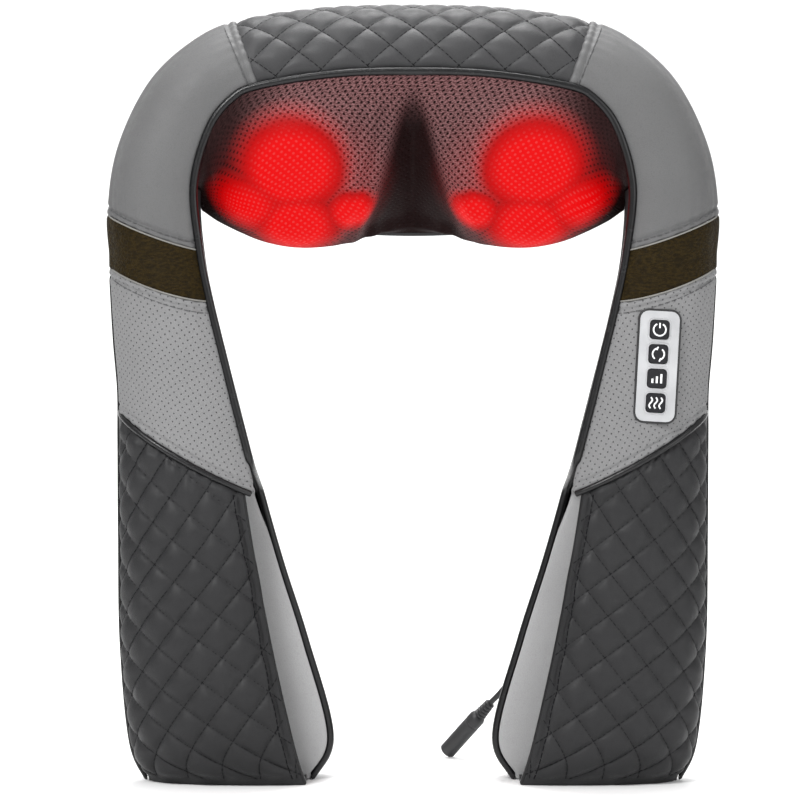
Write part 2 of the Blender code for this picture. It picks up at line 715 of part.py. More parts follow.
def make_head(side_name, side):
    """One massage head, from the worm wheel up to the nodes, and the bush that it turns in."""
    place = in_unit(side * HEAD_X, 0)
    wheel_low = MOTOR_H - WHEEL_THICKNESS / 2
    wheel_high = MOTOR_H + WHEEL_THICKNESS / 2
    bore = SPINDLE_RADIUS + GAP
    flat_piece(f"{side_name}_worm_wheel", [wheel_outline(), circle(bore, 16)], wheel_low, wheel_high,
               "white_plastic", place)
    collar = 2 * SPINDLE_RADIUS
    shoulder = -CARRIER_THICKNESS - GAP
    turned(f"{side_name}_spindle", (
        (0, shoulder), (collar, shoulder), (collar, wheel_high + GAP), (SPINDLE_RADIUS, wheel_high + GAP),
        (SPINDLE_RADIUS, PLATE_BACK), (0, PLATE_BACK)), "steel", place, 16)
    ring(f"{side_name}_spindle_bush", bore, 0.0070, PLATE_BACK, wheel_low - 0.0006, "brass", place, 16)
    flat_piece(f"{side_name}_head_carrier", [carrier_outline(), circle(bore, 16)], -CARRIER_THICKNESS, 0.0,
               "white_plastic", place)
    turned(f"{side_name}_carrier_screw", (
        (0, 0.0026), (0.0055, 0.0026), (0.0065, 0.0016), (0.0065, GAP), (SPINDLE_RADIUS, GAP),
        (SPINDLE_RADIUS, -CARRIER_THICKNESS + GAP), (0, -CARRIER_THICKNESS + GAP)), "steel", place, 14)
    ring(f"{side_name}_lamp_board", 0.0115, 0.0325, LAMP_H - LAMP_THICKNESS / 2, LAMP_H + LAMP_THICKNESS / 2,
         "circuit_board", place, 24)
    ring(f"{side_name}_shaft_bush", SHAFT_RADIUS + GAP, 0.0050, -0.0035, 0.0035, "brass",
         along_shaft(side * BUSH_X), 16)
    for title, distance, direction, radius, height in NODES:
        angle = math.radians(direction)
        spot = Matrix.Translation((side * distance * math.cos(angle), distance * math.sin(angle), 0))
        turned(f"{side_name}_{title}_node", node_profile(radius, height), "node_plastic", place @ spot, 14)


def over_heads(x, s):
    """Height that the mesh panel must reach at (x, s) to clear both turning heads."""
    away = min(math.hypot(x - side * HEAD_X, s) for _, side in SIDES)
    return COVER_FLOOR + COVER_RISE * math.sqrt(max(1 - (away / COVER_RADIUS) ** 6, 0))


def mesh_panel_point(u, w, lift):
    """The mesh panel, from the front edge at w = 0 to the rear edge at w = 1."""
    _, front, rear = edge_points(u)
    straight = front + (rear - front) * w
    x, s, h, _ = UNIT_BACK @ np.array([*straight, 1])
    from_end = min(u, FAR_END - u) - NECK_END
    base = h + COVER_ARCH * min(1, from_end) * math.sin(math.pi * w ** 0.7)
    swell = over_heads(x, s)
    blend = 0.5 * (base + swell + math.hypot(base - swell, COVER_BLEND))
    margin = min(1, 8 * w, 16 * (1 - w), 3 * from_end)
    height = base + (blend - base) * margin + lift
    return UNIT @ Vector((x, s, height))


def make_mesh_cover():
    stations = spread(NECK_END + 0.08, FAR_END - NECK_END - 0.08, 40)
    across = spread(0.085, 0.94, 20)
    outer = [[mesh_panel_point(u, w, COVER_WALL) for w in across] for u in stations]
    inner = [[mesh_panel_point(u, w, 0.0) for w in across] for u in stations]
    return sheet_solid("mesh_cover", outer, inner, "mesh_fabric")


# ---------------------------------------------------------------- control plate

def front_depth(x, z):
    """Y of the right arm's front face at (x, z)."""
    best = min(((u, v) for u in spread(POCKET_SEAM, BAND_LOW, 40) for v in spread(0.05, 0.45, 40)),
               key=lambda uv: abs(cover_point(*uv)[0] - x) + abs(cover_point(*uv)[2] - z))
    return cover_point(*best)[1]


def make_controls():
    """Plate, box, board and four buttons, in a frame with x across, y up the plate and z out of it."""
    up = Vector((math.sin(CONTROL_LEAN), 0, math.cos(CONTROL_LEAN)))
    right = Vector((math.cos(CONTROL_LEAN), 0, -math.sin(CONTROL_LEAN)))
    origin = Vector((CONTROL_X, front_depth(CONTROL_X, CONTROL_Z), CONTROL_Z))
    place = frame_matrix(origin, right.cross(up), right)
    width, height = CONTROL_SIZE
    proud, plate_back, board_low, board_high, box_back = 0.0012, -0.0024, -0.0078, -0.0062, -0.0150
    spots = [(1.5 - i) * BUTTON_PITCH for i in range(len(BUTTONS))]
    window = BUTTON_SIZE + 0.0006
    holes = [rounded_rectangle(window, window, 0.0023, (0, y), 3) for y in spots]
    flat_piece("control_plate", [rounded_rectangle(width, height, 0.005), *holes], plate_back, proud,
               "silver_plastic", place)
    tray = box("control_box", (width - 0.0006, height - 0.0006, plate_back - GAP - box_back), "black_plastic",
               place, (0, 0, (plate_back - GAP + box_back) / 2))
    wall = 0.0014
    hollow = box("control_box_hollow", (width - 2 * wall, height - 2 * wall, -box_back), None, place,
                 (0, 0, wall + box_back / 2))
    boolean(tray, hollow)
    box("control_board", (width - 2 * wall - 0.001, height - 2 * wall - 0.001, board_high - board_low),
        "circuit_board", place, (0, 0, (board_high + board_low) / 2))
    stem_low = -0.0048
    for title, y in zip(BUTTONS, spots):
        outline = rounded_rectangle(BUTTON_SIZE - 0.0002, BUTTON_SIZE - 0.0002, 0.0021, (0, 0), 3)
        flat_piece(f"{title}_button", [outline], stem_low, proud + 0.0008, "black_rubber",
                   place @ Matrix.Translation((0, y, 0)))
    pocket = box("control_window", (width + 0.0008, height + 0.0008, 0.05), None, place,
                 (0, 0, box_back - GAP + 0.025))
    for wall_name in ("right_perforated_panel", "right_arm_pad"):
        boolean(bpy.data.objects[wall_name], pocket)
    return place


# ---------------------------------------------------------------- power lead

def relief_frame():
    """Place of the strain relief on the right arm's back face, with +Z straight out of the back."""
    x, z = RELIEF_PLACE
    best = min(((u, v) for u in spread(1, POCKET_SEAM, 40) for v in spread(0.55, 0.95, 40)),
               key=lambda uv: abs(cover_point(*uv)[0] - x) + abs(cover_point(*uv)[2] - z))
    return Matrix.Translation((x, cover_point(*best)[1] + 0.0012, z)) @ Matrix.Rotation(-math.pi / 2, 4, "X")


def make_power_lead():
    place = relief_frame()
    tip = CORD_ROUTE[0][1] - GAP - place.translation.y
    turned("strain_relief", ((0, tip), (0.0026, tip), (0.0038, 0.0022), (0.0072, 0.0016), (0.0072, 0.0),
                             (0, 0.0)), "black_rubber", place, 16)
    route = np.array(CORD_ROUTE)
    points = [catmull_rom(route, t) for t in spread(0, len(route) - 1, 18)]
    tube("power_cord", points, CORD_DIAMETER / 2, "black_rubber", sides=8)
    axis = (SOCKET_TIP - SOCKET_TOP).normalized()
    length = (SOCKET_TIP - SOCKET_TOP).length
    socket = frame_matrix(SOCKET_TIP, -axis)
    bore, bore_depth = 0.0028, 0.011
    turned("dc_socket", (
        (0, length), (0.0031, length), (0.0036, length - 0.012), (0.0048, length - 0.0125),
        (SOCKET_RADIUS, length - 0.0145), (SOCKET_RADIUS, 0.0006), (SOCKET_RADIUS - 0.0006, 0),
        (bore, 0), (bore, bore_depth), (0, bore_depth)), "black_rubber", socket, 16)
    cylinder("dc_socket_pin", 0.0009, 0.002, bore_depth - GAP, "brass", socket, 8)


# ---------------------------------------------------------------- assembly

def main():
    make_cover_panels()
    make_piping()
    for side_name, side in SIDES:
        make_arm_pad(side_name, side)
        make_gusset(side_name, side)
        make_pocket(side_name, side)
        make_back_pad(side_name, side)
        make_outer_piping(side_name, side)
        make_head(side_name, side)
        make_worm(side_name, side)
    make_rear_housing()
    make_base_plate()
    make_motor()
    make_motor_clamp()
    make_mesh_cover()
    make_controls()
    make_power_lead()


main()
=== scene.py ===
"""The looks of the shiatsu neck massager: stitched and quilted leather, mesh panel, lights and materials."""
import json
import math

import bpy
import numpy as np
from mathutils import Matrix, Vector

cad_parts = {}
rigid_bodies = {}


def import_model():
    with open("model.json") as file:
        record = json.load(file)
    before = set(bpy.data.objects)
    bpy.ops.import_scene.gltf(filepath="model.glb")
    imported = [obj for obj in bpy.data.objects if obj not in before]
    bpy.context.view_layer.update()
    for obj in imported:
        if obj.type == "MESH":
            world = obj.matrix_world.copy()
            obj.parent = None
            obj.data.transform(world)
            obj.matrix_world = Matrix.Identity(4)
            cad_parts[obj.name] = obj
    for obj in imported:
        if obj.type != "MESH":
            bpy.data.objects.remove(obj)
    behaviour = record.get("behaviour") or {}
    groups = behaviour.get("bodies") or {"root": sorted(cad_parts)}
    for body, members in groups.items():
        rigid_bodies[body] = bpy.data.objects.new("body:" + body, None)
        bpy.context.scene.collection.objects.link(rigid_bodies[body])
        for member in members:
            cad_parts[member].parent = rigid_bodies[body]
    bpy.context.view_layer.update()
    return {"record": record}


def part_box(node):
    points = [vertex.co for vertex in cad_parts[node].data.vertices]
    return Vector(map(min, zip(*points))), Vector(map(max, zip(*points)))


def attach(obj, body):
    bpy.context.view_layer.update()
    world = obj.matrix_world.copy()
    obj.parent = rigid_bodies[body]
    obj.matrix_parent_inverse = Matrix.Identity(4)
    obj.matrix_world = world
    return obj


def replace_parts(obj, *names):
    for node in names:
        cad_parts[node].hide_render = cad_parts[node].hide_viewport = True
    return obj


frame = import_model()

MID_Y = -0.0086                 # middle plane of the arms
SIDES = (("left", -1), ("right", 1))
PIPING = 0.0021                 # radius of the piping along the rear edge
FLOOR_GAP = 0.0002              # keeps the soles clear of the floor

# The cover's ribs, as in the CAD model: crest, front edge, rear edge, then how far the outline pulls
# away from the front edge, at the crest and towards the rear edge.
ARM = (0.22, 0.014, 0.041, 0.042, 0.22, 0.014)
RIBS = (
    ((0.1610, 0.000, 0.0000), (0.0645, -0.024, 0.0000), (0.0658, 0.024, 0.0000),
     (0.22, 0.006, 0.028, 0.030, 0.22, 0.006)),
    ((0.1712, 0.000, 0.0240), (0.0716, -0.031, 0.0250), (0.0538, 0.029, 0.0270),
     (0.22, 0.012, 0.038, 0.040, 0.22, 0.012)),
    ((0.1768, 0.000, 0.0850), (0.0850, -0.031, 0.0850), (0.0690, 0.030, 0.0850), ARM),
    ((0.1778, 0.000, 0.1550), (0.0930, -0.031, 0.1320), (0.0840, 0.029, 0.1320), ARM),
    ((0.1785, 0.000, 0.2260), (0.0940, -0.030, 0.1755), (0.0962, 0.029, 0.1750), ARM),
    ((0.1818, 0.000, 0.2700), (0.1085, -0.029, 0.2360), (0.1122, 0.030, 0.2360), ARM),
    ((0.1842, 0.000, 0.3135), (0.1220, -0.029, 0.2910), (0.1258, 0.032, 0.2910), ARM),
    ((0.1855, 0.000, 0.3450), (0.1280, -0.029, 0.3215), (0.1318, 0.036, 0.3235), ARM),
    ((0.1795, 0.002, 0.3850), (0.1315, -0.030, 0.3600), (0.1335, 0.043, 0.3610),
     (0.25, 0.014, 0.044, 0.050, 0.25, 0.014)),
    ((0.1620, 0.004, 0.4225), (0.1225, -0.030, 0.3940), (0.1200, 0.046, 0.3560),
     (0.35, 0.012, 0.040, 0.050, 0.30, 0.016)),
    ((0.1370, 0.006, 0.4480), (0.1090, -0.030, 0.4120), (0.1050, 0.047, 0.3500),
     (0.45, 0.008, 0.032, 0.046, 0.38, 0.019)),
    ((0.1080, 0.008, 0.4630), (0.0925, -0.030, 0.4200), (0.0880, 0.047, 0.3440),
     (0.50, 0.005, 0.025, 0.042, 0.45, 0.021)),
    ((0.0550, 0.008, 0.4712), (0.0460, -0.030, 0.4272), (0.0440, 0.047, 0.3385),
     (0.53, 0.004, 0.022, 0.040, 0.47, 0.021)),
    ((0.0000, 0.008, 0.4730), (0.0000, -0.030, 0.4288), (0.0000, 0.047, 0.3365),
     (0.53, 0.004, 0.022, 0.040, 0.47, 0.021)),
)
POCKET_SEAM, BAND_LOW, BAND_HIGH, NECK_END, QUILT_SEAM, MIDDLE = 4, 6, 7, 8, 11, 13
FAR_END = 2 * MIDDLE
# How far each seam bows towards the feet between its ends, in rib numbers
BOW = {POCKET_SEAM: -0.10, BAND_LOW: -0.13, BAND_HIGH: -0.11}

# Massage unit
TILT = math.radians(39)
UNIT = Matrix.Translation((0, MID_Y + 0.0065, 0.375)) @ Matrix((
    (1, 0, 0), (0, -math.sin(TILT), -math.cos(TILT)), (0, math.cos(TILT), -math.sin(TILT)))).to_4x4()
UNIT_AXES = np.array(UNIT.to_3x3())
UNIT_ORIGIN = np.array(UNIT.translation)
HEAD_X = 0.068
# distance from the head's axis, direction, height, reach and strength of each light under the mesh
LIGHTS = (
    (0.021, 76, 0.027, 0.037, 1.12),
    (0.026, -83, 0.025, 0.031, 1.05),
    (0.034, 205, 0.025, 0.0185, 1.05),
    (0.033, -16, 0.022, 0.027, 0.95),
)
MOTOR_S, MOTOR_H, MOTOR_RADIUS = 0.0311, -0.017, 0.013    # the motor under the middle of the mesh

# Power lead: the route is the CAD model's
CORD_DIAMETER = 0.0036
CORD_ROUTE = (
    (0.1000, 0.0478, 0.1120),
    (0.1000, 0.0540, 0.1112),
    (0.0965, 0.0620, 0.1040),
    (0.0880, 0.0670, 0.0905),
    (0.0775, 0.0690, 0.0750),
    (0.0670, 0.0710, 0.0595),
    (0.0575, 0.0733, 0.0462),
    (0.0502, 0.0784, 0.0377),
)
SOCKET_TOP = Vector((0.0500, 0.0785, 0.0375))
SOCKET_TIP = Vector((0.0225, 0.0990, 0.0038))


# ---------------------------------------------------------------- shader helpers

class Shader:
    """A material with short calls to add and join its nodes."""

    def __init__(self, name, colour, roughness, metallic=0.0, **settings):
        self.material = bpy.data.materials.new(name)
        self.material.use_nodes = True
        self.tree = self.material.node_tree
        self.bsdf = self.tree.nodes["Principled BSDF"]
        self.set(self.bsdf, "Base Color", (*colour, 1))
        self.set(self.bsdf, "Roughness", roughness)
        self.set(self.bsdf, "Metallic", metallic)
        for title, value in settings.items():
            self.set(self.bsdf, title.replace("_", " ").title().replace("Ior", "IOR"), value)
        self.material.diffuse_color = (*colour, 1)

    def set(self, node, socket, value):
        if isinstance(value, bpy.types.NodeSocket):
            self.tree.links.new(value, node.inputs[socket])
        else:
            node.inputs[socket].default_value = value

    def node(self, kind, inputs=(), **settings):
        made = self.tree.nodes.new(kind)
        for key, value in settings.items():
            setattr(made, key, value)
        for socket, value in dict(inputs).items():
            self.set(made, socket, value)
        return made

    def math(self, operation, *values, clamp=False):
        made = self.node("ShaderNodeMath", operation=operation, use_clamp=clamp)
        for i, value in enumerate(values):
            self.set(made, i, value)
        return made.outputs[0]

    def vector(self, operation, *values, output=0, **named):
        made = self.node("ShaderNodeVectorMath", operation=operation)
        for i, value in enumerate(values):
            self.set(made, i, value)
        for socket, value in named.items():
            self.set(made, socket, value)
        return made.outputs[output]

    def where(self, kind="Object", target=None):
        made = self.node("ShaderNodeTexCoord")
        if target:
            made.object = target
        return made.outputs[kind]

    def noise(self, place, scale, detail=3.0, roughness=0.55):
        made = self.node("ShaderNodeTexNoise",
                         {"Vector": place, "Scale": scale, "Detail": detail, "Roughness": roughness})
        return made.outputs["Fac"]

    def cells(self, place, scale, feature="DISTANCE_TO_EDGE"):
        made = self.node("ShaderNodeTexVoronoi", {"Vector": place, "Scale": scale}, feature=feature)
        return made.outputs["Distance"]

    def remap(self, value, low, high, to_low=0.0, to_high=1.0, smooth=True):
        made = self.node("ShaderNodeMapRange", {"Value": value, 1: low, 2: high, 3: to_low, 4: to_high},
                         interpolation_type="SMOOTHSTEP" if smooth else "LINEAR")
        return made.outputs[0]

    def mix(self, amount, first, second, blend="MIX"):
        made = self.node("ShaderNodeMix", {0: amount, 6: first, 7: second}, data_type="RGBA",
                         blend_type=blend)
        return made.outputs[2]

    def bump(self, height, distance, strength=1.0, under=None):
        inputs = {"Height": height, "Distance": distance, "Strength": strength}
        if under is not None:
            inputs["Normal"] = under
        return self.node("ShaderNodeBump", inputs).outputs["Normal"]

    def finish(self, colour=None, roughness=None, normal=None):
        for socket, value in (("Base Color", colour), ("Roughness", roughness), ("Normal", normal)):
            if value is not None:
                self.set(self.bsdf, socket, value)
        return self.material


def rgba(colour, scale=1.0):
    return (*(min(1.0, c * scale) for c in colour), 1)


def dots(shader, uv, pitch, radius):
    """1 inside staggered round holes, 0 between them, on a UV map in metres."""
    def lattice(shift):
        moved = shader.vector("ADD", uv, shift)
        cell = shader.vector("FRACTION", shader.vector("SCALE", moved, Scale=1 / pitch))
        return shader.vector("LENGTH", shader.vector("SUBTRACT", cell, (0.5, 0.5, 0)), output=1)
    nearest = shader.math("MINIMUM", lattice((0, 0, 0)), lattice((pitch / 2, pitch / 2, 0)))
    return shader.remap(nearest, radius / pitch * 0.75, radius / pitch * 1.2, 1, 0)


def leather(name, colour, roughness=0.42, grain=700, depth=0.00018, variation=0.12, perforated=False,
            coat=0.0, sheen=0.3, crease=1.0, wrinkled=False):
    """Grained leather: fine cells, soft creases, a slow change of tone and worn, smoother high spots."""
    made = Shader(name, colour, roughness, coat_weight=coat, coat_roughness=0.3, specular_ior_level=sheen)
    place = made.where()
    slow = made.noise(place, 14, 4)
    cells = made.cells(place, grain)
    pores = made.remap(cells, 0.0, 0.16)
    creases = made.noise(place, 160, 5, 0.7)
    tone = made.remap(slow, 0.3, 0.7)
    shade = made.mix(tone, rgba(colour, 1 - variation), rgba(colour, 1 + variation))
    shade = made.mix(made.remap(pores, 0, 1, 0.25, 0.0), shade, rgba(colour, 0.55))
    gloss = made.remap(creases, 0.3, 0.75, roughness - 0.07, roughness + 0.1)
    normal = made.bump(pores, depth, 0.65)
    normal = made.bump(creases, depth * crease, 0.4, normal)
    if wrinkled:
        # The folds' colour follows their bump: painted shade in the fold hollows and a painted highlight on
        # the fold tops.
        folds = made.noise(made.vector("MULTIPLY", place, (330, 330, 850)), 1.0, 3, 0.6)
        shade = made.mix(made.remap(folds, 0.36, 0.66), rgba(colour, 0.6), rgba(colour, 1.45))
        normal = made.bump(folds, 0.0009, 0.8, normal)
    if perforated:
        holes = dots(made, made.where("UV"), 0.0050, 0.00044)
        shade = made.mix(made.math("MULTIPLY", holes, 0.9), shade, rgba(colour, 0.12))
        normal = made.bump(made.math("SUBTRACT", 1.0, holes), 0.0005, 0.8, normal)
    return made.finish(shade, gloss, normal)


def moulded(name, colour, roughness=0.4, metallic=0.0, texture=1500, depth=0.00004, **settings):
    """Moulded plastic or rubber with a fine spark-eroded texture and slight wear."""
    made = Shader(name, colour, roughness, metallic, **settings)
    place = made.where()
    fine = made.noise(place, texture, 2)
    wear = made.noise(place, 35, 5, 0.65)
    shade = made.mix(made.remap(wear, 0.35, 0.75), rgba(colour, 0.92), rgba(colour, 1.08))
    gloss = made.remap(wear, 0.3, 0.7, roughness - 0.05, roughness + 0.08)
    return made.finish(shade, gloss, made.bump(fine, depth, 0.6))


def brushed(name, colour):
    """Turned or drawn metal: fine streaks and a little tarnish."""
    roughness = 0.28
    made = Shader(name, colour, roughness, 1.0)
    place = made.vector("MULTIPLY", made.where(), (60, 1800, 1800))
    streaks = made.noise(place, 1.0, 2)
    tarnish = made.noise(made.where(), 90, 4)
    shade = made.mix(made.remap(tarnish, 0.4, 0.8), rgba(colour), rgba(colour, 0.8))
    gloss = made.remap(streaks, 0.3, 0.7, roughness - 0.06, roughness + 0.12)
    return made.finish(shade, gloss, made.bump(streaks, 0.00003, 0.5))


def circuit(name, colour):
    """Solder mask with copper tracks and pads under it."""
    made = Shader(name, colour, 0.35)
    place = made.where()
    tracks = made.remap(made.cells(place, 420), 0.02, 0.06, 1, 0)
    pads = made.remap(made.cells(place, 300, "F1"), 0.12, 0.16, 1, 0)
    shade = made.mix(tracks, rgba(colour), rgba((0.04, 0.30, 0.10)))
    shade = made.mix(pads, shade, rgba((0.75, 0.72, 0.66)))
    return made.finish(shade, normal=made.bump(made.math("MAXIMUM", tracks, pads), 0.00005, 0.6))


def node_centres(side):
    """Tips of one head's nodes at rest, with the reach and strength of the light under each."""
    for distance, direction, height, reach, strength in LIGHTS:
        angle = math.radians(direction)
        local = Vector((side * (HEAD_X + distance * math.cos(angle)), distance * math.sin(angle), height))
        yield UNIT @ local, reach, strength


def head_light(made):
    """Red light on the mesh: bright over each node, which it follows as the heads turn, and dim around."""
    total = None
    for side_name, side in SIDES:
        turning = made.where("Object", bpy.data.objects[f"{side_name}_head_carrier"])
        for centre, reach, strength in node_centres(side):
            away = made.vector("DISTANCE", turning, tuple(centre), output=1)
            part = made.remap(away, reach * 0.08, reach * 1.28, strength * 1.12, 0.0)
            total = part if total is None else made.math("SMOOTH_MAX", total, part, 0.14)
    total = made.math("MAXIMUM", made.math("SUBTRACT", total, 0.09), 0.0)
    spread_out = None
    for _, side in SIDES:
        middle = UNIT @ Vector((side * HEAD_X, 0.0, 0.014))
        away = made.vector("DISTANCE", made.where(), tuple(middle), output=1)
        part = made.remap(away, 0.020, 0.062, 0.30, 0.0)
        spread_out = part if spread_out is None else made.math("ADD", spread_out, part)
    return made.math("ADD", total, spread_out)


def mesh_fabric():
    """Stretch mesh, dark between its pores, lit red from below where the heads' lamps and nodes are."""
    made = Shader("mesh_fabric", (0.05, 0.035, 0.036), 0.62, emission_strength=1.0, specular_ior_level=0.1)
    pores = dots(made, made.where("UV"), 0.0047, 0.00082)
    strands = made.noise(made.vector("MULTIPLY", made.where("UV"), (700, 1500, 1)), 1.0, 1)
    weave = made.remap(strands, 0.42, 0.58)
    light = head_light(made)
    # The sheen attribute paints light and shade into the mesh. Strands and the gaps between them are lighter
    # over the top middle as a painted highlight, and darker in the valley between the heads, towards the ends
    # and along the lower part as painted shade.
    tone = made.node("ShaderNodeAttribute", attribute_name="sheen").outputs["Fac"]
    strand_with_painted_light = made.mix(tone, rgba((0.010, 0.0015, 0.0015)), rgba((0.17, 0.082, 0.084)))
    gap = made.mix(tone, rgba((0.006, 0.0008, 0.0008)), rgba((0.055, 0.020, 0.020)))
    cloth = made.mix(weave, gap, strand_with_painted_light)
    cloth = made.mix(pores, cloth, rgba((0.008, 0.001, 0.001)))
    covered = made.remap(light, 0.18, 0.62)
    base = made.mix(covered, cloth, rgba((0.05, 0.0, 0.0)))
    pore_shade = made.math("MULTIPLY", pores, made.remap(light, 0.3, 0.7, 0.7, 0.0))
    dim = made.math("MULTIPLY", made.remap(light, 0.0, 1.0, 0.0, 0.80, smooth=False),
                    made.math("SUBTRACT", 1.0, pore_shade))
    glow = made.mix(made.math("MULTIPLY", made.remap(light, 0.55, 0.95), pores),
                    rgba((1.0, 0.0, 0.0015)), rgba((1.0, 0.045, 0.045)))
    made.set(made.bsdf, "Emission Color", made.mix(dim, rgba((0.0, 0.0, 0.0)), glow))
    normal = made.bump(made.math("SUBTRACT", 1.0, pores), 0.0004, 0.7)
    normal = made.bump(weave, 0.00012, 0.5, normal)
    return made.finish(base, made.remap(strands, 0.3, 0.7, 0.5, 0.75), normal)


def translucent_node(name, colour):
    """Massage node: translucent red plastic over a lamp."""
    made = Shader(name, colour, 0.28, emission_strength=0.8, coat_weight=0.3)
    place = made.where()
    bloom = made.noise(place, 60, 3)
    made.set(made.bsdf, "Emission Color", made.mix(bloom, rgba((0.5, 0.0, 0.0)), rgba((0.95, 0.02, 0.01))))
    return made.finish(made.mix(bloom, rgba(colour, 0.8), rgba(colour, 1.2)),
                       made.remap(bloom, 0.3, 0.7, 0.2, 0.36), made.bump(bloom, 0.0001, 0.4))


MATERIALS = {}


def stock(maker, name, *values, **settings):
    MATERIALS[name] = maker(name, *values, **settings)


stock(leather, "quilted_leather", (0.019, 0.019, 0.020), 0.46, 900, 0.00008, 0.10, sheen=0.22)
# The top quilt's leather is the quilted leather made lighter: a painted highlight where the top light falls
# on the neck.
stock(leather, "top_leather", (0.034, 0.034, 0.0355), 0.46, 900, 0.00008, 0.10, sheen=0.30)
stock(leather, "grey_leather", (0.112, 0.112, 0.113), 0.5, 1000, 0.00006, 0.05, sheen=0.25)
stock(leather, "perforated_leather", (0.192, 0.192, 0.194), 0.52, 1000, 0.00006, 0.04, perforated=True,
      sheen=0.25)
stock(leather, "lining_leather", (0.36, 0.36, 0.363), 0.52, 1000, 0.00006, 0.04, sheen=0.2)
stock(leather, "brown_leather", (0.0160, 0.0100, 0.0018), 0.55, 380, 0.00030, 0.35, sheen=0.08,
      wrinkled=True)
stock(leather, "gusset_leather", (0.020, 0.020, 0.021), 0.75, 900, 0.00008, 0.08, sheen=0.05)
stock(leather, "black_piping", (0.004, 0.004, 0.0045), 0.2, 1200, 0.00004, 0.2, coat=0.25, sheen=0.25)
stock(leather, "back_fabric", (0.14, 0.14, 0.142), 0.52, 900, 0.00010, 0.06, sheen=0.25)
# The pale leather of the band's edges is a painted highlight along the band's folded edges.
stock(leather, "edge_trim", (0.21, 0.205, 0.19), 0.5, 1000, 0.00006, 0.08)
stock(moulded, "grey_thread", (0.07, 0.07, 0.072), 0.6, texture=3500)
stock(moulded, "dark_thread", (0.005, 0.005, 0.006), 0.8, texture=3500, specular_ior_level=0.1)
MATERIALS["mesh_fabric"] = mesh_fabric()
stock(moulded, "black_plastic", (0.025, 0.025, 0.027), 0.45)
stock(moulded, "white_plastic", (0.72, 0.71, 0.68), 0.38)
stock(translucent_node, "node_plastic", (0.5, 0.015, 0.015))
stock(moulded, "silver_plastic", (0.44, 0.445, 0.455), 0.34, 0.15, texture=2200, depth=0.00002)
stock(circuit, "circuit_board", (0.015, 0.11, 0.04))
stock(brushed, "steel", (0.56, 0.57, 0.59))
stock(brushed, "brass", (0.72, 0.51, 0.22))
stock(moulded, "black_rubber", (0.014, 0.014, 0.015), 0.48, texture=900, depth=0.00006)
stock(moulded, "button_rubber", (0.014, 0.014, 0.016), 0.42, texture=1200, specular_ior_level=0.2)
stock(moulded, "icon_print", (0.86, 0.87, 0.88), 0.45)
stock(moulded, "foam", (0.05, 0.05, 0.052), 0.9, texture=600, depth=0.0003)


# ---------------------------------------------------------------- camera, floor and light

CAMERA_AWAY = 1.70
PICTURE_WIDTH = 0.488    # metres across the picture at the massager
CAMERA_X, CAMERA_Z = -0.0079, 0.2318
SENSOR = 36
SKY_STRENGTH = 0.58
# name, place, height of the point it faces, size and power of each studio light
STUDIO_LIGHTS = (
    ("key", (-0.9, -1.5, 1.7), 0.28, 0.7, 40),
    ("fill", (1.3, -1.3, 0.9), 0.25, 1.2, 11),
    ("top", (0.0, 0.3, 1.9), 0.40, 0.8, 30),
    ("back", (0.3, 1.8, 1.2), 0.30, 1.2, 14),
)
# the floor runs from well behind the camera to a curved backdrop
FLOOR_NEAR, FLOOR_FAR, FLOOR_HALF = -7.0, 1.4, 5.0
BACKDROP_BEND, BACKDROP_TOP = 0.8, 4.0


def add(name, data):
    made = bpy.data.objects.new(name, data)
    bpy.context.scene.collection.objects.link(made)
    return made


def make_camera():
    data = bpy.data.cameras.new("camera")
    data.sensor_width = SENSOR
    data.lens = SENSOR * CAMERA_AWAY / PICTURE_WIDTH
    camera = add("camera", data)
    camera.location = (CAMERA_X, MID_Y - CAMERA_AWAY, CAMERA_Z)
    camera.rotation_euler = (math.pi / 2, 0, 0)
    bpy.context.scene.camera = camera


def area_light(name, place, target, size, power):
    data = bpy.data.lights.new(name, "AREA")
    data.shape = "SQUARE"
    data.size = size
    data.energy = power
    light = add(name, data)
    light.location = place
    light.rotation_euler = (Vector(target) - Vector(place)).to_track_quat("-Z", "Y").to_euler()


def make_studio():
    bpy.context.scene.view_settings.view_transform = "Standard"
    world = bpy.data.worlds.new("studio")
    bpy.context.scene.world = world
    world.use_nodes = True
    sky = world.node_tree.nodes["Background"]
    sky.inputs[0].default_value = (1, 1, 1, 1)
    sky.inputs[1].default_value = SKY_STRENGTH
    for name, place, height, size, power in STUDIO_LIGHTS:
        area_light(name, place, (0, 0, height), size, power)
    sweep = [(FLOOR_NEAR, 0.0), (FLOOR_FAR, 0.0)]
    for a in np.linspace(0, math.pi / 2, 16)[1:]:
        sweep.append((FLOOR_FAR + BACKDROP_BEND * math.sin(a), BACKDROP_BEND * (1 - math.cos(a))))
    sweep.append((FLOOR_FAR + BACKDROP_BEND, BACKDROP_TOP))
    points = [(x, y, z) for y, z in sweep for x in (-FLOOR_HALF, FLOOR_HALF)]
    faces = [(2 * i, 2 * i + 1, 2 * i + 3, 2 * i + 2) for i in range(len(sweep) - 1)]
    mesh = bpy.data.meshes.new("floor")
    mesh.from_pydata(points, [], faces)
    mesh.shade_smooth()
    floor = add("floor", mesh)
    pale = Shader("pale_floor", (0.93, 0.93, 0.93), 0.7)
    speck = pale.noise(pale.where(), 3, 2)
    mesh.materials.append(pale.finish(pale.mix(speck, rgba((0.92, 0.92, 0.92)), rgba((0.94, 0.94, 0.94)))))


# ---------------------------------------------------------------- cover surface

def rib_table():
    right = []
    for crest, front, rear, pulls in RIBS:
        places = [(x, y + MID_Y, z) for x, y, z in (crest, front, rear)]
        right.append([n for group in (*places, pulls) for n in group])
    right = np.array(right)
    mirror = np.array([-1, 1, 1] * 3 + [1] * 6)
    return np.vstack([right, right[-2::-1] * mirror])


RIB_TABLE = rib_table()


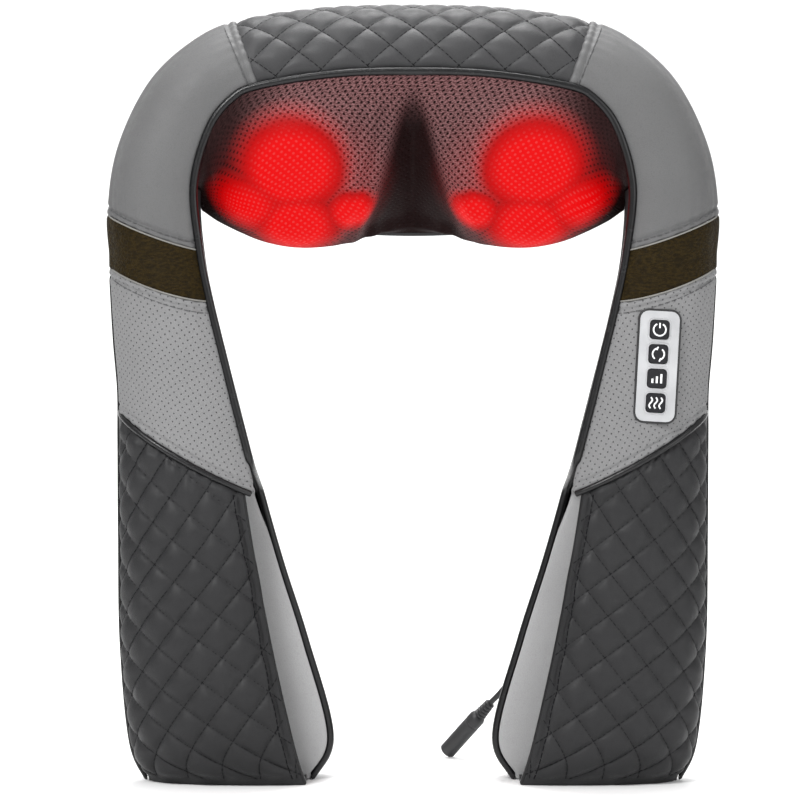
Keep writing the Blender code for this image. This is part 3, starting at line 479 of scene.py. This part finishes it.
def catmull_rom(rows, t):
    """The smooth curve through rows at row numbers t, an array of any shape."""
    rows, t = np.asarray(rows, float), np.asarray(t, float)
    padded = np.vstack([2 * rows[:1] - rows[1:2], rows, 2 * rows[-1:] - rows[-2:-1]])
    i = np.clip(t.astype(int), 0, len(rows) - 2)
    f = (t - i)[..., None]
    before, a, b, after = padded[i], padded[i + 1], padded[i + 2], padded[i + 3]
    return 0.5 * (2 * a + (b - before) * f + (2 * before - 5 * a + 4 * b - after) * f ** 2
                  + (3 * a - before - 3 * b + after) * f ** 3)


def bezier(a, b, c, d, t):
    t = t[..., None]
    return a * (1 - t) ** 3 + 3 * b * t * (1 - t) ** 2 + 3 * c * t ** 2 * (1 - t) + d * t ** 3


ACROSS, DEPTH = np.array([1, 0, 1]), np.array([0, 1, 0])


def edges(u):
    row = catmull_rom(RIB_TABLE, u)
    return row[..., 0:3], row[..., 3:6], row[..., 6:9]


def cover(u, v):
    """Outer face of the cover: u is the rib number, v runs from the front edge over the crest to the rear."""
    row = catmull_rom(RIB_TABLE, u)
    crest, front, rear = row[..., 0:3], row[..., 3:6], row[..., 6:9]
    pulls = [row[..., i:i + 1] for i in range(9, 15)]
    fore = bezier(front, front + (crest - front) * ACROSS * pulls[0] - DEPTH * pulls[1],
                  crest - DEPTH * pulls[2], crest, np.clip(2 * v, 0, 1))
    aft = bezier(crest, crest + DEPTH * pulls[3],
                 rear + (crest - rear) * ACROSS * pulls[4] + DEPTH * pulls[5], rear, np.clip(2 * v - 1, 0, 1))
    return np.where(v[..., None] <= 0.5, fore, aft)


def unit(vectors):
    return vectors / np.maximum(np.linalg.norm(vectors, axis=-1, keepdims=True), 1e-12)


def cover_normal(u, v, step=0.02):
    along = cover(np.minimum(u + step, FAR_END), v) - cover(np.maximum(u - step, 0), v)
    section = cover(u, np.minimum(v + step, 1)) - cover(u, np.maximum(v - step, 0))
    return unit(np.cross(section, along))


def arc_lengths(points, axis):
    """Distance run along one axis of a grid of points, from its start."""
    step = np.linalg.norm(np.diff(points, axis=axis), axis=-1)
    run = np.cumsum(step, axis=axis)
    zero = np.zeros_like(np.take(run, [0], axis=axis))
    return np.concatenate([zero, run], axis=axis)


def smoothstep(x, low, high):
    t = np.clip((x - low) / (high - low), 0, 1)
    return t * t * (3 - 2 * t)


def waves(points, seed, scale):
    """Slow, repeatable unevenness from -1 to 1, as in hand-sewn leather."""
    draw = np.random.default_rng(seed)
    total = np.zeros(points.shape[:-1])
    for i in range(6):
        direction = unit(draw.normal(size=3)) * scale * draw.uniform(0.6, 1.7)
        total += np.sin(points @ direction + draw.uniform(0, 6.3))
    return total / 3.5


# ---------------------------------------------------------------- mesh pieces

def grid_piece(name, points, uv, material, thickness, flip=False):
    """A smooth sheet through a grid of points, thickened inwards."""
    rows, columns = points.shape[:2]
    index = np.arange(rows * columns).reshape(rows, columns)
    quads = np.stack([index[:-1, :-1], index[:-1, 1:], index[1:, 1:], index[1:, :-1]], -1).reshape(-1, 4)
    if flip:
        quads = quads[:, ::-1]
    mesh = bpy.data.meshes.new(name)
    mesh.from_pydata(points.reshape(-1, 3).tolist(), [], quads.tolist())
    layer = mesh.uv_layers.new(name="UVMap")
    corners = np.array([loop.vertex_index for loop in mesh.loops])
    layer.data.foreach_set("uv", uv.reshape(-1, 2)[corners].ravel())
    mesh.shade_smooth()
    made = add(name, mesh)
    mesh.materials.append(MATERIALS[material])
    solid = made.modifiers.new("thickness", "SOLIDIFY")
    solid.thickness = thickness
    solid.offset = -1
    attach(made, "housing")
    return made


def tube(name, paths, radius, material, cyclic=False, sides=2, body="housing"):
    """Round cords, threads or pipings along one or more paths."""
    curve = bpy.data.curves.new(name, "CURVE")
    curve.dimensions = "3D"
    curve.bevel_depth = radius
    curve.bevel_resolution = sides
    curve.use_fill_caps = True
    for path in paths:
        spline = curve.splines.new("POLY")
        spline.points.add(len(path) - 1)
        spline.points.foreach_set("co", np.hstack([path, np.ones((len(path), 1))]).ravel())
        spline.use_cyclic_u = cyclic
        spline.use_smooth = True
    curve.materials.append(MATERIALS[material])
    made = add(name, curve)
    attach(made, body)
    return made


def threads_along(path, first, length, pitch, count):
    """Short threads of count points each, one every pitch along a path."""
    run = arc_lengths(path, 0)
    for start in np.arange(first, run[-1] - length, pitch):
        spots = np.linspace(start, start + length, count)
        yield np.stack([np.interp(spots, run, path[:, i]) for i in range(3)], -1)


def stitches(name, path, material):
    """A row of stitches along a seam."""
    threads = list(threads_along(path, 0.001, 0.0032, 0.0043, 4))
    tube(name, threads, 0.00032, material, sides=1)


def seam_stitches(name, paths):
    """Fine dark stitches along the sewn lines of a quilt."""
    threads = [thread for path in paths if len(path) >= 4
               for thread in threads_along(path, 0.0005, 0.0024, 0.0034, 3)]
    tube(name, threads, 0.00022, "dark_thread", sides=0)


def mirrored(points, side):
    return points if side > 0 else points * np.array([-1, 1, 1])


def seam_u(rib, v):
    """Rib number of a bowed seam at v, on the right arm."""
    return rib + BOW.get(rib, 0.0) * np.sin(math.pi * np.clip(2 * np.minimum(v, 1 - v), 0, 1))


def panel_grid(low, high, along, across):
    """Rib numbers and v on a grid between two bowed seams of the right arm."""
    v = np.linspace(0, 1, across)
    t = np.linspace(0, 1, along)[:, None]
    u = seam_u(low, v)[None, :] * (1 - t) + seam_u(high, v)[None, :] * t
    return u, np.broadcast_to(v, u.shape)


def seam_distance(points):
    """Distance from each point of a panel to its two seams, along the panel."""
    run = arc_lengths(points, 0)
    return run, run[-1:] - run


def tuck(distance, depth=0.0016, reach=0.0038):
    """How far a panel rolls in towards a seam at this distance."""
    t = np.clip(1 - distance / reach, 0, 1)
    return -depth * (1 - np.sqrt(1 - 0.98 * t ** 2))


def puckers(run_across, distance, seed, height=0.00042, pitch=0.0085, reach=0.010):
    """Small gathers square to a seam, fading away from it."""
    phase = 0.9 * np.sin(run_across * 90 + seed) + 0.7 * np.sin(run_across * 41 + 2 * seed)
    return height * np.sin(2 * math.pi * run_across / pitch + 2.2 * phase) * np.exp(-distance / reach)


def quilt(p, q, width, height, puff):
    """Diamond channels sewn into padding: rounded cushions between sharp sewn lines."""
    first = np.abs(np.sin(math.pi * (p / width + q / height)))
    second = np.abs(np.sin(math.pi * (p / width - q / height)))
    return puff * (first * second) ** 0.42


def quilt_threads(points, normals, p, q, width, height):
    """Paths of the sewn lines of a quilted grid, one for each crossing of a grid row or column."""
    threads = []
    for sign in (1, -1):
        value = p / width + sign * q / height
        for k in range(math.ceil(value.min()), math.floor(value.max()) + 1):
            path = []
            for i in range(value.shape[0]):
                row = value[i] - k
                hits = np.nonzero(row[:-1] * row[1:] <= 0)[0]
                if len(hits):
                    j = hits[0]
                    f = row[j] / (row[j] - row[j + 1] + 1e-12)
                    path.append(points[i, j] * (1 - f) + points[i, j + 1] * f
                                + normals[i, j] * 0.00012)
            if len(path) > 4:
                threads.append(np.array(path))
    return threads


# ---------------------------------------------------------------- padded cover

TOP_QUILT = (0.0275, 0.0255)       # width and height of a diamond
POCKET_QUILT = (0.0262, 0.0250)
POCKET_SLANT = 0.18
UNDER_SEAM = 0.07                  # how far the top quilt runs on under the shoulder panels, in ribs


def make_top_quilt():
    across, along = 150, 230
    v = np.linspace(0.0, 1.0, across)
    start = QUILT_SEAM - UNDER_SEAM
    u = np.linspace(start, FAR_END - start, along)[:, None] * np.ones(across)
    v = np.broadcast_to(v, u.shape)
    base, normal = cover(u, v), cover_normal(u, v)
    run = arc_lengths(base, 1)
    from_seam = np.minimum(*seam_distance(base))
    from_edge = np.minimum(run, run[:, -1:] - run)
    calm = smoothstep(from_seam, 0.0, 0.010) * smoothstep(from_edge, 0.0, 0.010)
    puff = quilt(base[..., 0], run - 0.004, *TOP_QUILT, 0.0025)
    height = puff * calm - 0.0013 + tuck(from_seam, 0.0012, 0.005) + tuck(from_edge, 0.0010)
    height += 0.0002 * waves(base, 3, 60) * calm
    points = base + normal * height[..., None]
    seam_stitches("top_quilt_stitches", quilt_threads(points, normal, base[..., 0], run - 0.004, *TOP_QUILT))
    # The top quilt gets the lighter, painted-lit copy of the quilted leather.
    made = grid_piece("quilted_top", points, np.stack([base[..., 0], run], -1), "top_leather",
                      0.0022)
    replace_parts(made, "top_quilt_panel")


def make_plain_panel(side_name, side, title, low, high, material, along, seed, dent=None, **edge):
    """A smooth padded panel between two seams, with rolled edges and puckers at the seams."""
    u, v = panel_grid(low, high, along, 130)
    base, normal = cover(u, v), cover_normal(u, v)
    from_low, from_high = seam_distance(base)
    nearest = np.minimum(from_low, from_high)
    run = arc_lengths(base, 1)
    from_edge = np.minimum(run, run[:, -1:] - run)
    from_crest = run - run[:, run.shape[1] // 2][:, None]
    height = tuck(nearest, **edge) + tuck(from_edge, 0.0010)
    if title != "accent_band":
        height += puckers(run, from_low, seed) + puckers(run, from_high, seed + 1.7)
        for distance in (from_low, from_high):
            height -= 0.0010 * np.exp(-((distance - 0.0052) / 0.0014) ** 2)
    height += 0.0006 * waves(base, int(seed * 7), 45) * smoothstep(nearest, 0.0, 0.012)
    height += 0.0012 * np.exp(-((from_crest + 0.012) / 0.005) ** 2)
    if dent is not None:
        height += dent(base)
    points = mirrored(base + normal * height[..., None], side)
    lean = math.radians(14)
    uv = np.stack([from_crest * math.cos(lean) + base[..., 2] * math.sin(lean),
                   base[..., 2] * math.cos(lean) - from_crest * math.sin(lean)], -1)
    made = grid_piece(f"{side_name}_{title}_leather", points, uv, material, 0.0016, flip=side < 0)
    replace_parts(made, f"{side_name}_{title}")
    return made


CONTROL_LEAN = math.radians(3.2)
CONTROL_RIGHT = np.array([math.cos(CONTROL_LEAN), 0, -math.sin(CONTROL_LEAN)])
CONTROL_UP = np.array([math.sin(CONTROL_LEAN), 0, math.cos(CONTROL_LEAN)])
CONTROL_HALF = (0.0110, 0.0322)


def front_centre(node, back=0.0):
    """The middle of the front of a CAD node's box, moved back a little."""
    low, high = map(np.array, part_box(node))
    return np.array([(low[0] + high[0]) / 2, low[1] + back, (low[2] + high[2]) / 2])


def control_dent(base):
    """Seat of the control plate, pressed into the right perforated panel."""
    from_centre = base - front_centre("control_plate")
    beyond = np.maximum(np.abs(from_centre @ CONTROL_RIGHT) - CONTROL_HALF[0],
                        np.abs(from_centre @ CONTROL_UP) - CONTROL_HALF[1])
    inside = (beyond < 0.0) & (base[..., 1] < MID_Y)
    rim = np.exp(-np.clip(beyond, 0, None) / 0.004) * (base[..., 1] < MID_Y)
    return np.where(inside, -0.0050, -0.0006 * rim)


def over_surface(u, v, lift):
    return cover(u, v) + cover_normal(u, v) * lift


def make_seam_details(side_name, side):
    """Band edges, bindings and stitch rows that cross the arm."""
    v = np.linspace(0.012, 0.988, 120)
    # The band's folded edges are thin tubes coloured pale: real rounded edges with a painted highlight along
    # them.
    for title, rib in (("lower", BAND_LOW), ("upper", BAND_HIGH)):
        path = mirrored(over_surface(seam_u(rib, v), v, -0.0001), side)
        tube(f"{side_name}_band_{title}_edge", [path], 0.00050, "edge_trim")
    rows = (
        ("band_seam", BAND_LOW, -0.155, -0.0002),
        ("shoulder_seam", QUILT_SEAM, -0.21, 0.0001),
        ("shoulder_foot", BAND_HIGH, 0.125, 0.0001),
    )
    for title, rib, shift, lift in rows:
        path = mirrored(over_surface(seam_u(rib, v) + shift, v, lift), side)
        stitches(f"{side_name}_{title}_stitches", path, "grey_thread")
    front = np.linspace(0.028, 0.985, 110)
    binding = mirrored(over_surface(seam_u(POCKET_SEAM, front) - 0.02, front, -0.0003), side)
    tube(f"{side_name}_pocket_top_binding", [binding], 0.0019, "black_piping", sides=3)


POCKET_TOP = 0.518       # v of the pocket's crest side, just past the outline
LINING_REACH = 0.0031    # from the rear edge to the middle of the piping along the lining


def pocket_points(along=170, across=120):
    """Front face of the right hand pocket, without its quilting, from its foot to its top seam."""
    v = np.linspace(0.0, 0.5, across)
    t = np.linspace(0, 1, along)[:, None]
    u = t * seam_u(POCKET_SEAM, v)[None, :]
    mouth = 0.055 * smoothstep(u[:, :1], POCKET_SEAM - 1.3, POCKET_SEAM)
    v = mouth + (POCKET_TOP - mouth) / 0.5 * v[None, :]
    return cover(u, v), cover_normal(u, v)


def with_sole(panel, run, inner_y):
    """A panel's grid and UVs, with rows in front that close its foot from inner_y out to its bottom edge."""
    rim = panel[0]
    straight = np.linspace(rim[0, 0], rim[-1, 0], len(rim))
    rows = []
    for w in np.linspace(0, 1, 12)[:0:-1]:
        rows.append(np.stack([rim[:, 0] * (1 - w) + straight * w, rim[:, 1] * (1 - w) + inner_y * w,
                              np.full(len(rim), FLOOR_GAP)], -1))
    points = np.concatenate([np.array(rows), panel])
    return points, np.stack([np.vstack([run[:1]] * len(rows) + [run]), arc_lengths(points, 0)], -1)


def make_pocket(side_name, side):
    """Quilted front of the lower arm, with its sole, the bound free edge and its stitches."""
    base, normal = pocket_points()
    run = arc_lengths(base, 1)
    from_low, from_high = seam_distance(base)
    from_crest = run[:, -1:] - run
    calm = (smoothstep(from_low, 0.0, 0.012) * smoothstep(from_high, 0.001, 0.010)
            * smoothstep(run, 0.003, 0.008) * smoothstep(from_crest, 0.003, 0.014))
    p, q = from_crest + 0.006, base[..., 2] - POCKET_SLANT * from_crest
    height = quilt(p, q, *POCKET_QUILT, 0.0036) * calm
    height += tuck(from_high, 0.0020, 0.006) + tuck(from_crest, 0.0014, 0.006) - 0.0012
    height += 0.0004 * waves(base, 11, 50) * calm
    height += puckers(run, from_high, 2.0, 0.0005) + puckers(from_low, from_crest, 1.0, 0.0005, 0.010)
    front = base + normal * height[..., None]
    sewn = quilt_threads(front, normal, p, q, *POCKET_QUILT)
    seam_stitches(f"{side_name}_pocket_quilt_stitches",
                  [mirrored(path[path[:, 2] > 0.004], side) for path in sewn])
    front[:, :, 2] = np.maximum(front[:, :, 2], FLOOR_GAP)
    points, uv = with_sole(front, run, np.maximum(MID_Y, front[0, :, 1] + 0.0004))
    made = grid_piece(f"{side_name}_hand_pocket", mirrored(points, side), uv, "quilted_leather",
                      0.0032, flip=side < 0)
    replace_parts(made, f"{side_name}_pocket_panel")
    free_edge = front[:, 0] + np.array([0.0004, 0.0010, 0])
    free_edge[:, 2] = np.maximum(free_edge[:, 2], 0.0016)
    tube(f"{side_name}_pocket_edge_binding", [mirrored(free_edge, side)], 0.0014, "black_piping",
         sides=3)
    column = np.argmin(np.abs(run.mean(axis=0) - 0.0075))
    row = (front + normal * 0.0001)[6:-6, column]
    stitches(f"{side_name}_pocket_edge_stitches", mirrored(row, side), "dark_thread")


def make_back_pad(side_name, side):
    """Rear cover of the lower arm, with its sole, and its pale lining."""
    v = np.linspace(0.482, 1.0, 90)
    t = np.linspace(0, 1, 150)[:, None]
    u = t * seam_u(POCKET_SEAM, v)[None, :]
    v = np.broadcast_to(v, u.shape)
    base, normal = cover(u, v), cover_normal(u, v)
    from_low, from_high = seam_distance(base)
    run = arc_lengths(base, 1)
    nearest = np.minimum(from_low, from_high)
    height = tuck(nearest) + tuck(run, 0.0014, 0.006) + 0.0007 * waves(base, 23, 45)
    height += puckers(run, from_low, 1.3) + puckers(run, from_high, 2.3)
    back = base + normal * (height * smoothstep(nearest, -0.001, 0.004))[..., None]
    back[:, :, 2] = np.maximum(back[:, :, 2], FLOOR_GAP)
    points, uv = with_sole(back, run, np.minimum(MID_Y + 0.0006, back[0, :, 1] - 0.0004))
    made = grid_piece(f"{side_name}_arm_back", mirrored(points, side), uv, "grey_leather",
                      0.0016, flip=side < 0)
    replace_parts(made, f"{side_name}_back_pad")
    u = np.linspace(0.02, POCKET_SEAM, 140)
    crest, _, rear = edges(u)
    w = np.linspace(0.0, 0.965, 50)
    rear[:, 0] += 0.0008 - LINING_REACH + 0.0030 * smoothstep(u, POCKET_SEAM - 0.8, POCKET_SEAM)
    crest, rear = crest * (1, 0, 1), rear * (1, 0, 1)
    lining = rear[:, None] * (1 - w)[None, :, None] + crest[:, None] * w[None, :, None]
    width = arc_lengths(lining, 1)
    swell = 0.0030 * np.sin(math.pi * np.clip(w * 1.02, 0, 1)) ** 0.6 * smoothstep(u, 0, 0.5)[:, None]
    lining[..., 1] = MID_Y + 0.0016 - swell - 0.0004 * waves(lining, 31, 50)
    lining[..., 2] = np.maximum(lining[..., 2], 0.0006)
    piece = grid_piece(f"{side_name}_pocket_lining", mirrored(lining, side),
                       np.stack([width, arc_lengths(lining, 0)], -1), "lining_leather",
                       0.0012, flip=side < 0)


def piping_lines(u):
    """Front and rear lines of the inner piping: below the pocket seam the front one borders the lining."""
    _, front, rear = edges(u)
    rise = smoothstep(np.minimum(u, FAR_END - u), POCKET_SEAM, POCKET_SEAM + 0.4)[:, None]
    lining = np.stack([rear[:, 0] - np.sign(rear[:, 0]) * LINING_REACH, np.full(len(rear), MID_Y + 0.004),
                       rear[:, 2]], -1)
    return lining * (1 - rise) + front * rise, rear


def make_gusset(side_name, side):
    """A dark strip between the two pipings on the arm's inner side, slightly bowed into the gap."""
    front_line, rear_line = piping_lines(np.linspace(0.03, NECK_END, 260))
    w = np.linspace(0, 1, 26)[None, :, None]
    points = front_line[:, None] * (1 - w) + rear_line[:, None] * w
    bulge = 0.0030 * np.sin(math.pi * w[..., 0]) + 0.0004 * waves(points, 17, 70)
    points = points + np.array([-1, 0, -0.35]) * bulge[..., None]
    points[..., 2] = np.maximum(points[..., 2], 0.0006)
    uv = np.stack([arc_lengths(points, 1), arc_lengths(points, 0)], -1)
    made = grid_piece(f"{side_name}_inner_gusset", mirrored(points, side), uv, "gusset_leather",
                      0.0012, flip=side > 0)
    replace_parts(made, f"{side_name}_gusset")


def make_pocket_ceiling(side_name, side):
    """The lined end of the upper arm's padding, which closes the top of the hand pocket."""
    v = np.linspace(0.02, 0.98, 80)
    u = seam_u(POCKET_SEAM, v) - 0.01
    rim = cover(u, v) - cover_normal(u, v) * 0.0022
    hub = rim.mean(axis=0)
    w = np.linspace(0, 0.985, 14)[:, None, None]
    points = rim[None] * (1 - w) + hub * w
    uv = np.stack([points[..., 0], points[..., 1]], -1)
    made = grid_piece(f"{side_name}_pocket_ceiling", mirrored(points, side), uv, "foam", 0.0010,
                      flip=side < 0)
    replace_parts(made, f"{side_name}_arm_pad")


def make_piping():
    u = np.linspace(0.05, FAR_END - 0.05, 620)
    front, rear = piping_lines(u)
    for path in (front, rear):
        path[:, 2] = np.maximum(path[:, 2], PIPING + 0.0002)
    front[:, 1] -= 0.0009
    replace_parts(tube("front_edge_piping", [front], PIPING + 0.0004, "black_piping", sides=4),
                "front_piping")
    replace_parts(tube("rear_edge_piping", [rear], PIPING, "black_piping", sides=4),
                "rear_piping")
    for side_name, side in SIDES:
        u = np.linspace(0.01, BAND_LOW - 0.02, 200)
        v = np.full(len(u), 0.5)
        lift = 0.0009 - 0.0008 * smoothstep(u, POCKET_SEAM - 0.3, POCKET_SEAM + 0.3)
        lift -= 0.0030 * smoothstep(u, BAND_LOW - 0.22, BAND_LOW - 0.02)
        path = over_surface(u, v, lift[:, None])
        path[:, 2] = np.maximum(path[:, 2], 0.0016)
        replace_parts(tube(f"{side_name}_side_piping", [mirrored(path, side)], 0.0014, "black_piping",
                         sides=3), f"{side_name}_outer_piping")


# ---------------------------------------------------------------- mesh panel

def ramp(t, softness):
    """0 well below t = 0 and t well above it, with a soft bend between."""
    return 0.5 * (t + np.hypot(t, softness))


def over_heads(x, s):
    """Height of the fabric over the turning heads, falling away like a tent beyond them."""
    away = np.minimum(np.hypot(x - HEAD_X, s), np.hypot(x + HEAD_X, s))
    return 0.0280 - 0.80 * ramp(away - 0.0375, 0.008)


def node_bumps(x, s):
    """Extra swelling where the nodes stand at rest."""
    total = np.zeros_like(x)
    for _, side in SIDES:
        for distance, direction, _, reach, strength in LIGHTS:
            angle = math.radians(direction)
            cx = side * (HEAD_X + distance * math.cos(angle))
            cs = distance * math.sin(angle)
            total += 0.0024 * strength * np.exp(-((x - cx) ** 2 + (s - cs) ** 2) / (2 * (0.40 * reach) ** 2))
    return total


def make_mesh_panel():
    along, across = 320, 130
    u = np.linspace(NECK_END - 0.02, FAR_END - NECK_END + 0.02, along)
    _, front, rear = edges(u)
    w = np.linspace(0, 1, across)
    straight = front[:, None] * (1 - w)[None, :, None] + rear[:, None] * w[None, :, None]
    local = (straight - UNIT_ORIGIN) @ UNIT_AXES
    x, s, h = local[..., 0], local[..., 1], local[..., 2]
    from_end = (np.minimum(u, FAR_END - u) - NECK_END)[:, None]
    down = w[None, :]
    arch = 0.016 - 0.010 * np.exp(-(x / 0.024) ** 2)
    base = h + arch * np.clip(from_end, 0, 1) * np.sin(math.pi * down ** 0.7)
    swell = over_heads(x, s)
    blend = 0.5 * (base + swell + np.hypot(base - swell, 0.008))
    margin = np.clip(np.minimum(np.minimum(6 * w, 16 * (1 - w))[None, :], 3 * from_end), 0, 1)
    margin = margin * margin * (3 - 2 * margin)
    tuck_width = 0.003 + 0.034 * down
    valley = smoothstep(tuck_width - np.abs(x), -0.002, 0.008) * smoothstep(down, 0.02, 0.30)
    folds = 0.0007 * np.sin((x + 0.3 * s * np.sign(x)) / 0.0021) * np.exp(-((np.abs(x) - 0.028) / 0.014) ** 2)
    height = base + (blend - base) * margin + 0.0013 + (node_bumps(x, s) + folds) * margin
    height -= 0.0065 * valley * smoothstep(1 - down, 0.0, 0.15)
    over_motor = MOTOR_H + np.sqrt(np.clip((MOTOR_RADIUS + 0.003) ** 2 - (s - MOTOR_S) ** 2, 0, None)) + 0.001
    height = np.where(np.abs(s - MOTOR_S) < MOTOR_RADIUS, np.maximum(height, over_motor), height)
    height = np.where(margin > 0, height, h)
    local = np.stack([x, s, height], -1)
    points = local @ UNIT_AXES.T + UNIT_ORIGIN
    uv = np.stack([arc_lengths(points, 0), arc_lengths(points, 1)], -1)
    made = grid_piece("neck_mesh_panel", points, uv, "mesh_fabric", 0.0007, flip=True)
    # Painted light for the mesh material: sheen is 1 for a painted highlight over the top middle, and falls
    # as painted shade in the valley between the heads, towards the ends and along the lower part.
    sheen = (1 - valley) * (1 - 0.95 * smoothstep(np.abs(x), 0.066, 0.112))
    sheen *= 1 - 0.75 * smoothstep(down, 0.45, 0.85)
    layer = made.data.attributes.new("sheen", "FLOAT", "POINT")
    layer.data.foreach_set("value", sheen.ravel())
    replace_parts(made, "mesh_cover")


# ---------------------------------------------------------------- controls

def icon_paths():
    """Generic symbols in the plane of a button: power, turning arrows, rising bars and heat waves."""
    def arc(radius, start, stop, count=18):
        angles = np.radians(np.linspace(start, stop, count))
        return [(radius * math.cos(a), radius * math.sin(a)) for a in angles]
    power = [arc(0.0037, 118, 422), [(0, 0.0040), (0, 0.0009)]]
    turning = [arc(0.0035, 285, 415), arc(0.0035, 105, 235)]
    for a in (285, 105):
        x, y = 0.0035 * math.cos(math.radians(a)), 0.0035 * math.sin(math.radians(a))
        turning.append([(x - 0.0002, y - 0.0010), (x + 0.0006, y + 0.0009)])
    bars = [[(-0.0027 + 0.0026 * i, -0.0028), (-0.0027 + 0.0026 * i, -0.0002 + 0.0015 * i)] for i in range(3)]
    heat = [[(-0.0030 + 0.0030 * i - 0.0009 * math.sin(t * 6.28), -0.0033 + 0.0066 * t)
             for t in np.linspace(0, 1, 16)] for i in range(3)]
    return {"power": power, "direction": turning, "strength": bars, "heat": heat}


def make_icons():
    for title, paths in icon_paths().items():
        centre = front_centre(f"{title}_button", -0.00005)
        lines = [np.array([centre + CONTROL_RIGHT * x + CONTROL_UP * y for x, y in path]) for path in paths]
        radius = 0.00070 if title == "strength" else 0.00052
        tube(f"{title}_symbol", lines, radius, "icon_print", sides=1, body=f"{title}_key")


def rounded_loop(centre, half_x, half_z, radius):
    """A rounded rectangle round a point, in the plane of the control plate."""
    path = []
    for corner, (sx, sz) in enumerate(((1, 1), (-1, 1), (-1, -1), (1, -1))):
        for a in np.linspace(0, math.pi / 2, 8) + corner * math.pi / 2:
            x = sx * (half_x - radius) + radius * math.cos(a)
            z = sz * (half_z - radius) + radius * math.sin(a)
            path.append(CONTROL_RIGHT * x + CONTROL_UP * z + centre)
    return np.array(path)


def make_plate_rim():
    """Dark gasket line round the control plate, and a fine raised ring round each button."""
    outline = rounded_loop(front_centre("control_plate", 0.0011), 0.01225, 0.0335, 0.0055)
    tube("control_plate_gasket", [outline], 0.0008, "black_rubber", cyclic=True)
    rings = []
    for title in icon_paths():
        centre = front_centre(f"{title}_button")
        centre[1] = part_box("control_plate")[0][1] + 0.00002
        rings.append(rounded_loop(centre, 0.0069, 0.0069, 0.0030))
    tube("button_surrounds", rings, 0.00026, "silver_plastic", cyclic=True, sides=1)


# ---------------------------------------------------------------- power lead

def turned(name, profile, place):
    """A closed profile of (radius, height) points in black rubber, turned about place's Z."""
    steps = 48
    angles = np.linspace(0, 2 * math.pi, steps, endpoint=False)
    rings = np.array([[(r * math.cos(a), r * math.sin(a), z) for a in angles] for r, z in profile])
    count = len(profile)
    faces = []
    for i in range(count):
        for j in range(steps):
            k, n = (i + 1) % count, (j + 1) % steps
            faces.append((i * steps + j, k * steps + j, k * steps + n, i * steps + n))
    mesh = bpy.data.meshes.new(name)
    mesh.from_pydata(rings.reshape(-1, 3).tolist(), [], faces)
    mesh.transform(place)
    mesh.shade_smooth()
    mesh.set_sharp_from_angle(angle=math.radians(35))
    mesh.materials.append(MATERIALS["black_rubber"])
    made = add(name, mesh)
    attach(made, "housing")
    return made


def along_axis(origin, axis):
    return Matrix.Translation(origin) @ Vector(axis).to_track_quat("Z", "Y").to_matrix().to_4x4()


def ribbed(radius_at, low, high, ribs, depth=0.00035):
    """A tapered sleeve's outer profile from high to low, with rings standing out of it."""
    profile = []
    step = (high - low) / ribs
    for i in range(ribs):
        top = high - i * step
        for part, lift in ((0.0, -depth), (0.22, depth), (0.62, depth), (0.84, -depth)):
            z = top - part * step
            profile.append((radius_at(z) + lift, z))
    return profile


def make_power_lead():
    path = catmull_rom(CORD_ROUTE, np.linspace(0, len(CORD_ROUTE) - 1, 34))
    lead = tube("dc_lead", [path], CORD_DIAMETER / 2, "black_rubber", sides=6)
    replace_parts(lead, "power_cord")
    axis = (SOCKET_TOP - SOCKET_TIP).normalized()
    reach = (SOCKET_TOP - SOCKET_TIP).length
    sleeve = ribbed(lambda z: 0.0029 + 0.0009 * (reach - z) / 0.012, reach - 0.012, reach, 5)
    body = turned("dc_socket_shell", (
        (0.0010, reach), *sleeve, (0.0046, reach - 0.0126), (0.0053, reach - 0.0145), (0.0053, 0.0290),
        (0.0050, 0.0287), (0.0050, 0.0277), (0.0053, 0.0274), (0.0053, 0.0008), (0.0047, 0.0),
        (0.0029, 0.0), (0.0028, 0.0005), (0.0028, 0.0110), (0.0010, 0.0110)),
        along_axis(SOCKET_TIP, axis))
    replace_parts(body, "dc_socket")
    low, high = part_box("strain_relief")
    span = high[1] - low[1]
    taper = ribbed(lambda z: 0.0038 - 0.0012 * z / span, 0.0030, span, 6, 0.0003)
    gland = turned("lead_gland", (
        (0.0008, span), *taper, (0.0042, 0.0024), (0.0066, 0.0018), (0.0070, 0.0012), (0.0070, 0.0001),
        (0.0008, 0.0001)), along_axis(front_centre("strain_relief"), (0, 1, 0)))
    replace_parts(gland, "strain_relief")


# ---------------------------------------------------------------- assembly

def finish_cad_nodes():
    """Give every CAD node that stays visible its detailed material."""
    for part in frame["record"]["subparts"]:
        node = bpy.data.objects[part["node"]]
        node.data.materials.clear()
        node.data.materials.append(MATERIALS[part["material_slot"]])


def main():
    make_camera()
    make_power_lead()
    make_studio()
    finish_cad_nodes()
    make_top_quilt()
    for side_name, side in SIDES:
        make_plain_panel(side_name, side, "shoulder_panel", BAND_HIGH, QUILT_SEAM, "grey_leather", 150, 1.0)
        make_plain_panel(side_name, side, "accent_band", BAND_LOW, BAND_HIGH, "brown_leather", 40, 2.0,
                         depth=0.0006, reach=0.0018)
        make_plain_panel(side_name, side, "perforated_panel", POCKET_SEAM, BAND_LOW, "perforated_leather",
                         220, 3.0, dent=control_dent if side > 0 else None)
        make_seam_details(side_name, side)
        make_pocket(side_name, side)
        make_back_pad(side_name, side)
        make_gusset(side_name, side)
        make_pocket_ceiling(side_name, side)
    make_piping()
    make_mesh_panel()
    make_icons()
    make_plate_rim()


main()
